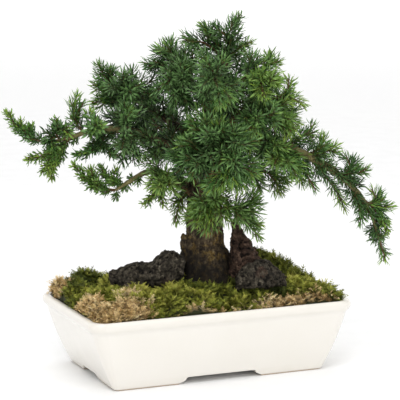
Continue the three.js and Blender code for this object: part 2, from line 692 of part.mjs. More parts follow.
Object.values(limbs).forEach(({ curve, radii, steps }) => {
  const points = curve.getSpacedPoints(steps);
  for (let i = 0; i < steps; i += 1) {
    place("wood", points[i], points[i + 1], radiusAlong(radii, i / steps) * 1.08);
  }
});
place("rock", vector([33, -9, 70]), vector([33, -9, 104]), 9);
place("rock", vector([48, -9, 72]), vector([58, -8, 76]), 11);
place("rock", vector([-50, -16, 70]), vector([-15, -14, 76]), 13);

// A shoot leaves along its parent and bends over to its tip.
function shootCurve(start, parentDirection, tip) {
  const reach = tip.clone().sub(start);
  const length = reach.length();
  const lead = parentDirection.clone().multiplyScalar(0.45).addScaledVector(reach, 0.55 / length).normalize();
  return new THREE.QuadraticBezierCurve3(start, start.clone().addScaledVector(lead, length * 0.5), tip);
}

// Direction square to another, at an angle round it.
function squareTo(direction, angle) {
  const helper = Math.abs(direction.z) > 0.9 ? new THREE.Vector3(1, 0, 0) : new THREE.Vector3(0, 0, 1);
  const side = helper.cross(direction).normalize();
  const third = direction.clone().cross(side);
  return side.multiplyScalar(Math.cos(angle)).addScaledVector(third, Math.sin(angle));
}

// Ring centres of a sprig: a bare stretch, then one whorl every pitch.
function sprigPoints(curve, bare, pitch) {
  const length = curve.getLength();
  const whorls = Math.max(2, Math.round((length * (1 - bare)) / pitch));
  const points = bare > 0 ? [curve.getPointAt(0)] : [];
  for (let i = 0; i <= whorls; i += 1) {
    points.push(curve.getPointAt(Math.min(1, bare + ((1 - bare) * i) / whorls)));
  }
  return points;
}

// Where the side sprigs of a shoot leave it, how far they reach, and how they spread round it.
function sidePaths(curve, count, random) {
  const length = curve.getLength();
  const turn = random() * 360;
  const paths = [];
  for (let j = 0; j < count; j += 1) {
    const u = 0.36 + (0.5 * (j + 0.3 + 0.4 * random())) / count;
    const reach = THREE.MathUtils.clamp((0.62 * (1 - u) * length + 8) * (0.85 + 0.3 * random()), 10, 24);
    const spread = THREE.MathUtils.degToRad(46 + 12 * random());
    const around = THREE.MathUtils.degToRad(turn + j * GOLDEN_ANGLE + 30 * random());
    paths.push({ u, reach, spread, around });
  }
  return paths;
}

function sideCurve(curve, { u, reach, spread, around }, extraTurn) {
  const start = curve.getPointAt(u);
  const forward = curve.getTangentAt(u);
  const out = squareTo(forward, around + extraTurn);
  const first = forward.clone().multiplyScalar(Math.cos(spread)).addScaledVector(out, Math.sin(spread));
  const middle = start.clone().addScaledVector(first, reach * 0.55);
  const end = middle.clone().addScaledVector(first, reach * 0.3).addScaledVector(forward, reach * 0.22);
  return new THREE.QuadraticBezierCurve3(start, middle, end);
}

// Whether the core of a sprig is clear of everything of other owners.
function coreIsClear(owners, points, radius, from) {
  for (let i = from; i + 1 < points.length; i += 1) {
    if (!isClear(owners, points[i], points[i + 1], radius)) return false;
  }
  return true;
}

// Distance from a point to the nearest placed thing of other owners.
function roomAround(owners, point) {
  return placed.reduce((room, item) => (owners.includes(item.owner)
    ? room
    : Math.min(room, segmentDistance(point, point, item.start, item.end) - item.radius - GAP)), 100);
}

// Rings of the dense heart of a shoot: place along the shoot and share of the full thickness.
const BUSH_RINGS = [[0.12, 0.2], [0.28, 0.95], [0.48, 1], [0.66, 0.2]];
const BUSH_SIDES = 5;
const BUSH_LEAST = 2.6;

// Gives a shoot its dense heart, narrowed wherever a neighbour is close.
function layBush(spray, { curve, kind }) {
  const full = SHOOT_KINDS[kind].bush;
  if (full === 0) return;
  const radii = BUSH_RINGS.map(([u, share]) => Math.min(
    full * share, roomAround([spray.name, `${spray.name}_bush`], curve.getPointAt(u)) - 0.4,
  ));
  if (Math.max(...radii) < BUSH_LEAST) return;
  const points = BUSH_RINGS.map(([u]) => curve.getPointAt(u));
  const bush = { points, radii: radii.map((r) => Math.max(r, 0.7)), kind, seed: spray.bushes.length };
  spray.bushes.push(bush);
  for (let i = 0; i + 1 < points.length; i += 1) {
    place(`${spray.name}_bush`, points[i], points[i + 1], Math.max(bush.radii[i], bush.radii[i + 1]));
  }
}

// Lay out every core first, so that the needles are fitted between all of them.
const sprays = [];
SHOOTS.forEach(([name, limbName, placeAlong, tip, kind, sides], order) => {
  const { pitch, core, bush } = SHOOT_KINDS[kind];
  const further = name === "+";
  if (!further) sprays.push({ name: `spray_${name}`, sprigs: [], bushes: [] });
  const spray = sprays[sprays.length - 1];
  const parent = further ? spray.sprigs[0].curve : limbs[limbName].curve;
  const spot = further ? FORK_PLACE : placeAlong;
  const curve = shootCurve(parent.getPointAt(spot), parent.getTangentAt(spot), vector(tip));
  const points = sprigPoints(curve, bush ? 0.58 : 0.25, pitch);
  spray.sprigs.push({ curve, points, core, kind, sides, bare: true, order, seed: order * 40 + 1 });
  placeAll(spray.name, points, core, order * 40 + 1);
});

sprays.forEach((spray) => spray.sprigs.forEach((sprig) => layBush(spray, sprig)));

sprays.forEach((spray) => spray.sprigs.slice().forEach(({ curve, kind, core, sides, order }) => {
  const random = seeded(5000 + order * 17);
  sidePaths(curve, Math.round(sides * SIDE_SHARE), random).forEach((path, j) => {
    const heart = SHOOT_KINDS[kind].bush * (path.u < 0.62 ? 0.8 : 0.3);
    const bare = Math.min(0.55, heart / path.reach);
    const choice = [0, 0.7, -0.7, 1.4, -1.4, 2.2].map((extra) => {
      const side = sideCurve(curve, path, extra);
      return { side, points: sprigPoints(side, bare, SHOOT_KINDS[kind].pitch) };
    }).find((option) => coreIsClear([`${spray.name}_bush`], option.points, core * 0.8, 1));
    if (!choice) return;
    const sprig = { curve: choice.side, points: choice.points, core: core * 0.8, seed: order * 40 + 2 + j };
    spray.sprigs.push({ ...sprig, kind, bare: bare > 0 });
    placeAll(spray.name, sprig.points, sprig.core, sprig.seed);
  });
}));

// A core of rings, each turned half a step from the one before, whose faces are drawn out into
// needles wherever there is room for them.
function bristled(spray, { points, radii, sides, kind, bare, seed, thick }) {
  const { needle, sweep } = SHOOT_KINDS[kind];
  const random = seeded(70000 + seed);
  const last = points.length - 1;
  const rings = ringsAlong(points, (i) => radii[i], sides, (i) => (i * Math.PI) / sides);
  const vertices = rings.flat();
  const triangles = [];
  const own = [];
  const footRadius = thick ? 2.3 : 0.9;
  const ignored = thick ? [`${spray.name}_bush`] : [];
  for (let i = 0; i < last; i += 1) {
    const forward = points[i + 1].clone().sub(points[i]).normalize();
    for (let k = 0; k < sides; k += 1) {
      const [a, b] = [sides * i + k, sides * i + ((k + 1) % sides)];
      [[a, b, a + sides], [b, b + sides, a + sides]].forEach((face, half) => {
        const root = face.reduce((sum, v) => sum.add(vertices[v]), new THREE.Vector3()).divideScalar(3);
        const out = root.clone().sub(points[i].clone().lerp(points[i + 1], (1 + half) / 3)).normalize();
        const narrowing = i === last - 1 && !thick ? 14 : 0;
        const lean = THREE.MathUtils.degToRad(sweep + 8 * (random() - 0.5) - narrowing);
        const size = needle * (0.88 + 0.24 * random());
        const way = out.multiplyScalar(Math.sin(lean)).addScaledVector(forward, Math.cos(lean));
        const foot = root.clone().addScaledVector(way, 1.6);
        const waist = root.clone().addScaledVector(way, size * 0.4);
        const fit = bare && i === 0 ? 0 : [1, 0.75, 0.5].find((share) => (
          isClear(ignored, foot, root.clone().addScaledVector(way, size * share), 0.45, seed)
          && isClear(thick ? ignored : [spray.name, ...ignored], foot, waist, footRadius)));
        if (!fit || (thick && half === 1 && i === 0)) {
          triangles.push(face);
          return;
        }
        const tip = root.clone().addScaledVector(way, size * fit);
        own.push([foot, tip, 0.45], [foot, waist, footRadius]);
        const t = vertices.push(tip) - 1;
        face.forEach((v, corner) => triangles.push([v, face[(corner + 1) % 3], t]));
      });
    }
  }
  const ahead = points[last].clone().sub(points[last - 1]).normalize();
  const start = vertices.push(points[0].clone()) - 1;
  const end = vertices.push(points[last].clone().addScaledVector(ahead, thick ? 0.5 : needle * 0.55)) - 1;
  for (let k = 0; k < sides; k += 1) {
    const next = (k + 1) % sides;
    triangles.push([sides * last + k, sides * last + next, end], [next, k, start]);
  }
  own.forEach(([from, to, radius]) => place(spray.name, from, to, radius, seed));
  return solidOf(geometryFrom(vertices, triangles));
}

function sprigSolid(spray, sprig) {
  const last = sprig.points.length - 1;
  const radii = sprig.points.map((_, i) => sprig.core * (1 - (0.45 * i) / last));
  return bristled(spray, { ...sprig, radii, sides: 3, thick: false });
}

function bushSolid(spray, bush) {
  return bristled(spray, { ...bush, sides: BUSH_SIDES, bare: false, thick: true });
}

sprays.forEach((spray) => {
  const solids = [
    ...spray.sprigs.map((sprig) => sprigSolid(spray, sprig)),
    ...spray.bushes.map((bush) => bushSolid(spray, bush)),
  ];
  const geometry = largestShell(geometryOf(joined(solids).subtract(grownWood)));
  addMesh(plantGroup, spray.name, geometry, spray.name.includes("low") ? "tip_foliage" : "foliage");
});

// The origin is under the middle of the whole piece, at the table.
model.updateMatrixWorld(true);
const bounds = new THREE.Box3().setFromObject(model, true);
model.position.set(-(bounds.min.x + bounds.max.x) / 2, -(bounds.min.y + bounds.max.y) / 2, -bounds.min.z);
model.updateMatrixWorld(true);

export default model;
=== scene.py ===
# A garden juniper kept as a bonsai in a shallow glazed pot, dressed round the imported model.
import math
import bpy
import numpy as np
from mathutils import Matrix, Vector, noise


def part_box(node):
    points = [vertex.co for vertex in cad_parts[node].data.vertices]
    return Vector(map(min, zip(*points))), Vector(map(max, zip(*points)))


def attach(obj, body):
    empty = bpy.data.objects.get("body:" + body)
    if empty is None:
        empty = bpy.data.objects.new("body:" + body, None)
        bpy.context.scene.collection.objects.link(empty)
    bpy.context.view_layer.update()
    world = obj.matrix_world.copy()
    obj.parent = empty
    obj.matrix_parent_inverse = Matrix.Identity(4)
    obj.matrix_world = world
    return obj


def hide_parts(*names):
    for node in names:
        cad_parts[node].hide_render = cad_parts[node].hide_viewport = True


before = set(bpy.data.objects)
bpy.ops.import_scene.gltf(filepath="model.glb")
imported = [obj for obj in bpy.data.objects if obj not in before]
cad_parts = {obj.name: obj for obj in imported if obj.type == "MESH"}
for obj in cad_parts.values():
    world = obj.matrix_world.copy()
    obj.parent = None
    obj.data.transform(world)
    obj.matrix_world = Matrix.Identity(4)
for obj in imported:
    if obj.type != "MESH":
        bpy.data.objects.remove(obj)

noise.seed_set(7)        # or else the warps of bark, stone and moss differ from run to run
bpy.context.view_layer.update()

# POT
# A slip-cast stoneware tray with flared walls, a rounded lip band and four feet left by an arch in
# each side. It is dipped in a cream-white gloss glaze that runs a little thin on the sharp edges.
MM = 0.001
RIM_LENGTH, RIM_WIDTH, RIM_CORNER = 210, 122, 11
BASE_INSET, BASE_WIDTH_INSET, BASE_CORNER = 23, 14, 2.5
WALL = [(2 + 40.4 * t, 20.2 - 16.1 * t - 5 * t * (1 - t)) for t in (i / 16 for i in range(17))]
OUTER_PROFILE = [  # height, inset from the rim
    (0, 22.4), (0.7, 21.2)] + WALL + [
    (43.6, 3.75), (44.8, 3.3), (46, 2.3), (47.2, 1.1), (48.4, 0.4), (49.6, 0.1), (50.8, 0), (52.2, 0.3),
    (53.4, 1.2), (54, 2.6),
]
INNER_PROFILE = [(53.5, 5, 4.6), (50, 5.6, 5.2), (40, 11, 8.6), (12.5, 22.5, 16), (10.5, 25, 18.5)]
FLOOR_UNDERSIDE, FOOT_WIDTH = 5.5, 10
LONG_SIDE_ARCH, SHORT_SIDE_ARCH = (33, 27), (20, 14)
DRAIN_RADIUS, DRAIN_SPACING = 7.5, 92
GLAZE, GLAZE_THIN = (0.83, 0.80, 0.75), (0.68, 0.63, 0.54)

pot_low, pot_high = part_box("pot")
POT_MIDDLE = np.array([(pot_low[0] + pot_high[0]) / 2, (pot_low[1] + pot_high[1]) / 2, 0])


def in_row_frame(points):
    """Millimetres from the middle of the pot's foot, as metres in the row frame."""
    return np.asarray(points, float).reshape(-1, 3) * MM + POT_MIDDLE


def add_mesh(name, points, faces, smooth=True):
    mesh = bpy.data.meshes.new(name)
    mesh.from_pydata([tuple(p) for p in points], [], faces)
    mesh.update()
    mesh.polygons.foreach_set("use_smooth", [smooth] * len(mesh.polygons))
    piece = bpy.data.objects.new(name, mesh)
    bpy.context.collection.objects.link(piece)
    return piece


def loft(rings, closed=True):
    """Points and faces of a skin over rings of equal count, with a flat face at each end."""
    count = len(rings[0])
    points = [p for ring in rings for p in ring]
    faces = []
    for r in range(len(rings) - 1):
        for i in range(count):
            a, b = r * count + i, r * count + (i + 1) % count
            faces.append((a, b, b + count, a + count))
    if closed:
        faces.append(tuple(range(count))[::-1])
        faces.append(tuple(range(len(points) - count, len(points))))
    return points, faces


def rounded_ring(half_x, half_y, corner, z, steps=14):
    ring = []
    for quarter, (side_x, side_y) in enumerate([(1, 1), (-1, 1), (-1, -1), (1, -1)]):
        for i in range(steps + 1):
            angle = (quarter + i / steps) * math.pi / 2
            ring.append((side_x * (half_x - corner) + corner * math.cos(angle),
                         side_y * (half_y - corner) + corner * math.sin(angle), z))
    return ring


def pot_ring(z, inset_x, inset_y):
    corner = max(2.5, RIM_CORNER + (BASE_CORNER - RIM_CORNER) * inset_x / BASE_INSET)
    return rounded_ring(RIM_LENGTH / 2 - inset_x, RIM_WIDTH / 2 - inset_y, corner, z)


def bake_modifiers(piece):
    """The piece keeps its shape as modified, with no modifier left on it."""
    shaped = piece.evaluated_get(bpy.context.evaluated_depsgraph_get())
    mesh = bpy.data.meshes.new_from_object(shaped)
    piece.modifiers.clear()
    piece.data = mesh
    return piece


def cut_away(piece, cutters):
    for cutter in cutters:
        step = piece.modifiers.new("cut", "BOOLEAN")
        step.operation, step.solver, step.object = "DIFFERENCE", "EXACT", cutter
    bake_modifiers(piece)
    for cutter in cutters:
        bpy.data.objects.remove(cutter)


def arch_cutter(bottom_half, top_half, depth, turn):
    """A bar with the arch's outline, with rounded shoulders, that runs through the whole pot."""
    outline = [(-bottom_half - 1.2, -1), (bottom_half + 1.2, -1), (bottom_half - 0.6, 1.2)]
    for i in range(7):
        angle = i / 6 * math.pi / 2
        outline.append((top_half - 1 + 2.34 * math.cos(angle), FLOOR_UNDERSIDE - 2.4 + 2.4 * math.sin(angle)))
    mirrored = [(-x, z) for x, z in outline[:1:-1]]
    shape = [(x, z) for x, z in outline + mirrored]
    ends = [[(-side * depth, x, z) if turn else (x, side * depth, z) for x, z in shape]
            for side in (-1, 1)]
    points, faces = loft(ends)
    return add_mesh("arch", in_row_frame(points), [face[::-1] for face in faces])


pot_rings = [pot_ring(z, inset, inset * BASE_WIDTH_INSET / BASE_INSET) for z, inset in OUTER_PROFILE]
pot_rings += [pot_ring(z, inset_x, inset_y) for z, inset_x, inset_y in INNER_PROFILE]
pot_points, pot_faces = loft(pot_rings)
pot = add_mesh("glazed_pot", in_row_frame(pot_points), pot_faces)
recess_half = (RIM_LENGTH / 2 - BASE_INSET - FOOT_WIDTH, RIM_WIDTH / 2 - BASE_WIDTH_INSET - FOOT_WIDTH)
recess = loft([rounded_ring(*recess_half, 4, z, 6) for z in (-1, FLOOR_UNDERSIDE)])
drains = []
for side in (-1, 1):
    rings = [[(side * DRAIN_SPACING / 2 + DRAIN_RADIUS * math.cos(a), DRAIN_RADIUS * math.sin(a), z)
              for a in np.linspace(0, 2 * math.pi, 32, endpoint=False)] for z in (-4, 15)]
    drains.append(loft(rings))
cutters = [add_mesh("cutter", in_row_frame(points), faces) for points, faces in [recess] + drains]
cutters += [arch_cutter(*LONG_SIDE_ARCH, RIM_WIDTH, False), arch_cutter(*SHORT_SIDE_ARCH, RIM_LENGTH, True)]
cut_away(pot, cutters)
soften = pot.modifiers.new("soften", "BEVEL")
soften.width, soften.segments = 0.7 * MM, 3
soften.limit_method, soften.angle_limit = "ANGLE", math.radians(38)
bake_modifiers(pot)
pot.data.polygons.foreach_set("use_smooth", [True] * len(pot.data.polygons))
flatten = pot.modifiers.new("flatten", "WEIGHTED_NORMAL")
flatten.mode, flatten.weight = "FACE_AREA", 50
bake_modifiers(pot)


def add_node(tree, kind, settings=None, **inputs):
    """A shader node whose inputs are given by name, as numbers or as the sockets that feed them."""
    made = tree.nodes.new(kind)
    for key, value in (settings or {}).items():
        setattr(made, key, value)
    for key, value in inputs.items():
        socket = made.inputs[key.replace("_", " ")]
        if isinstance(value, bpy.types.NodeSocket):
            tree.links.new(value, socket)
        else:
            socket.default_value = value
    return made


def new_finish(name, roughness, specular=0.5):
    """A material, its node tree, its shader, and the coordinates that its patterns are drawn in."""
    material = bpy.data.materials.new(name)
    material.use_nodes = True
    tree = material.node_tree
    shader = tree.nodes["Principled BSDF"]
    shader.inputs["Roughness"].default_value = roughness
    shader.inputs["Specular IOR Level"].default_value = specular
    place = add_node(tree, "ShaderNodeTexCoord").outputs["Object"]
    return material, tree, shader, place


def speckle(tree, place, scale, detail=3, roughness=0.55, stretch=(1, 1, 1)):
    """A noise pattern, drawn out along an axis where stretch is under 1."""
    if stretch != (1, 1, 1):
        place = add_node(tree, "ShaderNodeMapping", Vector=place, Scale=stretch).outputs[0]
    return add_node(tree, "ShaderNodeTexNoise", Vector=place, Scale=scale, Detail=detail,
                    Roughness=roughness).outputs[0]


def coloured(value):
    """A colour as a socket wants it, from a grey or from red, green and blue."""
    return (*value, 1) if isinstance(value, tuple) else (value, value, value, 1)


def grade(tree, factor, stops):
    """Colours or greys blended along a pattern, each at its place from 0 to 1."""
    ramp = add_node(tree, "ShaderNodeValToRGB", Fac=factor)
    steps = ramp.color_ramp.elements
    while len(steps) < len(stops):
        steps.new(0.5)
    for step, (place, colour) in zip(steps, stops):
        step.position, step.color = place, coloured(colour)
    return ramp.outputs[0]


def blend(tree, factor, under, over, mode="MIX"):
    made = tree.nodes.new("ShaderNodeMix")
    made.data_type, made.blend_type = "RGBA", mode
    for index, value in ((0, factor), (6, under), (7, over)):
        if isinstance(value, bpy.types.NodeSocket):
            tree.links.new(value, made.inputs[index])
        else:
            made.inputs[index].default_value = coloured(value) if index else value
    return made.outputs[2]


def paint(shader, colour):
    shader.id_data.links.new(colour, shader.inputs["Base Color"])


def relief(tree, shader, heights, distance):
    """Bumps in the surface, from one or more patterns, the strongest in the list last."""
    normal = None
    for height, strength in heights:
        inputs = {"Height": height, "Strength": strength, "Distance": distance}
        if normal:
            inputs["Normal"] = normal
        normal = add_node(tree, "ShaderNodeBump", **inputs).outputs[0]
    tree.links.new(normal, shader.inputs["Normal"])


glaze, tree, shader, place = new_finish("cream_glaze", 0.2)
cloud = speckle(tree, place, 22, 4)
edge = add_node(tree, "ShaderNodeNewGeometry").outputs["Pointiness"]
worn = grade(tree, edge, [(0.50, 0), (0.62, 1)])
body_tone = grade(tree, cloud, [(0.3, GLAZE), (0.7, (0.81, 0.78, 0.72))])
height = add_node(tree, "ShaderNodeSeparateXYZ", Vector=place).outputs["Z"]
glazed = add_node(tree, "ShaderNodeMapRange", Value=height, From_Min=0.0004, From_Max=0.0013).outputs[0]
paint(shader, blend(tree, glazed, (0.42, 0.30, 0.19), blend(tree, worn, body_tone, GLAZE_THIN)))
sheen_marks = add_node(tree, "ShaderNodeMapRange", Value=speckle(tree, place, 60, 5), To_Min=0.14, To_Max=0.3)
tree.links.new(sheen_marks.outputs[0], shader.inputs["Roughness"])
relief(tree, shader, [(speckle(tree, place, 90, 2), 0.10), (speckle(tree, place, 700, 2), 0.04)], 0.0006)
shader.inputs["Coat Weight"].default_value = 0.35
shader.inputs["Coat Roughness"].default_value = 0.08
pot.data.materials.clear()
pot.data.materials.append(glaze)
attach(pot, "root")
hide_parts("pot")

# DRAIN SCREENS
# A square of black plastic mesh lies over each drain hole, held down by the soil. Only its middle
# shows, from below.
screen_plastic, tree, shader, place = new_finish("screen_plastic", 0.55)
scuffs = speckle(tree, place, 500, 4)
paint(shader, grade(tree, scuffs, [(0.3, (0.02, 0.022, 0.025)), (0.8, (0.06, 0.062, 0.066))]))
relief(tree, shader, [(scuffs, 0.3)], 0.0004)
for name in ("drain_screen_left", "drain_screen_right"):
    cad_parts[name].material_slots[0].material = screen_plastic

# SOIL
# Dark, damp, crumbly potting mix of bark, grit and loam, packed to just under the lip. It shows
# between the moss and at the front edge.
soil_mix, tree, shader, place = new_finish("potting_mix", 0.9, 0.25)
crumbs = add_node(tree, "ShaderNodeTexVoronoi", Vector=place, Scale=520).outputs["Color"]
grains = add_node(tree, "ShaderNodeTexVoronoi", Vector=place, Scale=520).outputs["Distance"]
tone = grade(tree, speckle(tree, place, 300, 5), [
    (0.25, (0.012, 0.009, 0.006)), (0.55, (0.045, 0.028, 0.016)), (0.8, (0.12, 0.075, 0.04))])
paint(shader, blend(tree, 0.35, tone, crumbs, "MULTIPLY"))
relief(tree, shader, [(speckle(tree, place, 900, 4), 0.5), (grains, 0.9)], 0.0016)
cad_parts["soil"].material_slots[0].material = soil_mix

# SOIL CRUMBS
# Loose bits of bark, grit and dry root that lie along the front edge, where no moss has taken.
FRONT_CRUMBS, END_CRUMBS = 900, 260
random = np.random.default_rng(11)


def crumb(middle, size):
    """One lump: an octahedron with its points pushed about."""
    points = np.array([(1, 0, 0), (-1, 0, 0), (0, 1, 0), (0, -1, 0), (0, 0, 1), (0, 0, -1)], float)
    points *= random.uniform(0.55, 1.0, (6, 3)) * size
    points[:, 2] *= 0.7
    turn = random.uniform(0, math.tau)
    spin = np.array([(math.cos(turn), -math.sin(turn), 0), (math.sin(turn), math.cos(turn), 0), (0, 0, 1)])
    faces = [(0, 2, 4), (2, 1, 4), (1, 3, 4), (3, 0, 4), (2, 0, 5), (1, 2, 5), (3, 1, 5), (0, 3, 5)]
    return points @ spin.T + middle, faces


def gathered(parts):
    """Points and faces of many small parts, as one mesh."""
    points, faces, start = [], [], 0
    for part_points, part_faces in parts:
        points.append(part_points)
        faces += [tuple(start + i for i in face) for face in part_faces]
        start += len(part_points)
    return np.concatenate(points), faces


lumps = []
for _ in range(FRONT_CRUMBS):
    x = random.uniform(-56, 58)
    y = -56.2 + abs(random.normal(0, 3.2))
    lumps.append(crumb((x, y, 50.6 + 0.12 * (y + 56) + random.uniform(-0.5, 0.9)), random.uniform(0.5, 1.7)))
for _ in range(END_CRUMBS):
    side = random.choice((-1, 1))
    x, y = side * random.uniform(94, 98.5), random.uniform(-48, 50)
    lumps.append(crumb((x, y, 50.4 + random.uniform(-0.4, 0.8)), random.uniform(0.5, 1.4)))
crumb_points, crumb_faces = gathered(lumps)
crumbs_piece = add_mesh("soil_crumbs", in_row_frame(crumb_points), crumb_faces, smooth=False)
crumb_finish, tree, shader, place = new_finish("bark_and_grit", 0.85, 0.3)
which = add_node(tree, "ShaderNodeNewGeometry").outputs["Random Per Island"]
tone = grade(tree, which, [(0.0, (0.02, 0.014, 0.010)), (0.35, (0.08, 0.045, 0.024)),
                           (0.7, (0.24, 0.16, 0.085)), (1.0, (0.42, 0.33, 0.22))])
paint(shader, blend(tree, 0.5, tone, grade(tree, speckle(tree, place, 900, 3), [
    (0.3, (0.35, 0.33, 0.3)), (0.7, 1)]), "MULTIPLY"))
relief(tree, shader, [(speckle(tree, place, 1500, 3), 0.5)], 0.0005)
crumbs_piece.data.materials.append(crumb_finish)
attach(crumbs_piece, "root")

# TREE WOOD
# One living trunk with its limbs, wired into shape when it was young. Old bark flakes in lengthwise
# strips, grey-brown outside and ochre where a strip has come away, with stubs of pruned limbs.
# Painted shade darkens the bark in its grooves, on its left side and towards the foot.
PLANT_TURN = math.radians(-22.86)
LIMB_ROUTES = {
    "trunk": ([18.5, 15.6, 13.9, 12.2, 10.6, 8.8, 6.4, 4.2, 2.2], [
        (8, 3, 62), (8, 3, 78), (7, 2, 97), (6, 0, 120), (6, 0, 143), (8, 0, 166), (12, 2, 192), (17, 3, 218),
        (23, 3, 236)]),
    "left_long": ([5.2, 1.2], [(6, 0, 149), (-13, -6, 165), (-34, -10, 176), (-56, -12, 183), (-78, -14, 182),
                               (-99, -14, 176), (-111, -13, 173)]),
    "left_low": ([4.2, 1.3], [(3, -2, 130), (-15, -14, 146), (-34, -20, 153), (-47, -22, 147),
                              (-60, -22, 139)]),
    "left_up": ([4.6, 1.4], [(8, 2, 166), (-16, 8, 184), (-38, 12, 198), (-57, 14, 208)]),
    "right_long": ([5.6, 1.1], [(9, 0, 155), (29, -8, 170), (51, -14, 175), (77, -18, 167), (103, -20, 153),
                                (122, -20, 135), (133, -20, 115), (137, -20, 101)]),
    "right_mid": ([4.2, 1.4], [(14, 0, 177), (37, -10, 196), (57, -14, 207)]),
    "right_low": ([3.6, 1.3], [(9, 4, 146), (30, 14, 150), (49, 16, 148)]),
    "front": ([3.8, 1.4], [(8, -6, 159), (12, -25, 170), (19, -42, 174)]),
    "front_low": ([3.6, 1.4], [(7, -8, 137), (12, -24, 141), (19, -36, 137)]),
    "back": ([4.2, 1.4], [(9, 8, 165), (14, 30, 169), (20, 50, 172)]),
    "back_left": ([4.0, 1.4], [(8, 6, 157), (-8, 28, 169), (-26, 46, 175)]),
    "back_right": ([4.0, 1.4], [(10, 6, 161), (34, 28, 169), (56, 46, 175)]),
    "top_left": ([3.6, 1.3], [(12, 2, 192), (0, -2, 213), (-13, -4, 231)]),
    "top_right": ([3.4, 1.3], [(14, 2, 200), (33, -4, 219), (48, -6, 228)]),
    "top_back": ([3.4, 1.3], [(14, 4, 199), (18, 22, 212), (22, 38, 222)]),
    "top_front": ([3.4, 1.3], [(13, 0, 196), (14, -22, 212), (15, -38, 223)]),
}
WOOD_GRAIN, SOIL_LEVEL = 1.15, 58       # size of the finest form, and where the bark starts
SNAGS = [("trunk", 0.3, (9, -9, 5), 4), ("left_low", 0.5, (-2, -4, -11), 1.4)]
BROKEN_STUB = ([(3, 0, 76), (-4, -4, 89), (-8, -6, 97), (-10, -6, 104)], [12, 8.5, 4.5, 1.2])
FOOT_FLARE = ([(8, 1, 58), (8, 1, 68), (7, 2, 80), (7, 2, 100)], [24, 22, 19, 13])
ROOTS = [  # where a root meets the soil, in the plant's frame, and its thickness
    ((-17, -4, 64), 6), ((-6, -17, 64), 5), ((16, -18, 64), 6), ((31, -3, 65), 6), ((30, 14, 63), 5),
    ((8, 24, 63), 5), ((-12, 16, 63), 5),
]


def plant_place(points):
    """Points of the plant's own frame, as metres in the row frame."""
    points = np.asarray(points, float).reshape(-1, 3)
    cos, sin = math.cos(PLANT_TURN), math.sin(PLANT_TURN)
    x, y = points[:, 0] * cos - points[:, 1] * sin, points[:, 0] * sin + points[:, 1] * cos
    return in_row_frame(np.stack([x, y, points[:, 2]], 1))


class Route:
    """A curve kept as close points, read by its share of the length."""

    def __init__(self, points):
        self.points = np.asarray(points, float)
        steps = np.linalg.norm(np.diff(self.points, axis=0), axis=1)
        self.lengths = np.concatenate([[0], np.cumsum(steps)])
        self.length = self.lengths[-1]

    def at(self, share):
        where = np.clip(share, 0, 1) * self.length
        return np.stack([np.interp(where, self.lengths, self.points[:, k]) for k in range(3)], -1)

    def heading(self, share):
        share = np.asarray(share)
        ahead = self.at(np.minimum(share + 0.01, 1)) - self.at(np.maximum(share - 0.01, 0))
        return ahead / np.linalg.norm(ahead, axis=-1, keepdims=True)


def bent_through(points, per_span=24):
    """A centripetal spline through the points."""
    knots = [np.array(p, float) for p in points]
    knots = [2 * knots[0] - knots[1]] + knots + [2 * knots[-1] - knots[-2]]
    out = []
    for p0, p1, p2, p3 in zip(knots, knots[1:], knots[2:], knots[3:]):
        gap = [max(np.linalg.norm(b - a) ** 0.5, 1e-4) for a, b in ((p0, p1), (p1, p2), (p2, p3))]
        leave = ((p1 - p0) / gap[0] - (p2 - p0) / (gap[0] + gap[1]) + (p2 - p1) / gap[1]) * gap[1]
        arrive = ((p2 - p1) / gap[1] - (p3 - p1) / (gap[1] + gap[2]) + (p3 - p2) / gap[2]) * gap[1]
        for t in np.linspace(0, 1, per_span, endpoint=False):
            out.append(p1 + leave * t + (-3 * p1 + 3 * p2 - 2 * leave - arrive) * t ** 2
                       + (2 * p1 - 2 * p2 + leave + arrive) * t ** 3)
    return Route(out + [knots[-2]])


def tube(route, radii, sides, step, roughness=0.0, seed=0):
    """A closed skin along a route, with radii read by share of its length."""
    count = max(3, int(route.length / step) + 1)
    shares = np.linspace(0, 1, count)
    middles, ahead = route.at(shares), route.heading(shares)
    sizes = np.interp(shares, np.linspace(0, 1, len(radii)), radii)
    draw = np.random.default_rng(seed)
    side = np.array([1.0, 0, 0]) if abs(ahead[0][2]) > 0.8 else np.array([0, 0, 1.0])
    rings = []
    for middle, forward, size in zip(middles, ahead, sizes):
        side = side - forward * side.dot(forward)
        side /= np.linalg.norm(side)
        third = np.cross(forward, side)
        angles = np.linspace(0, math.tau, sides, endpoint=False)
        reach = size * (1 + roughness * draw.uniform(-1, 1, sides))[:, None]
        rings.append(middle + reach * (np.cos(angles)[:, None] * side + np.sin(angles)[:, None] * third))
    return loft([list(map(tuple, ring)) for ring in rings])


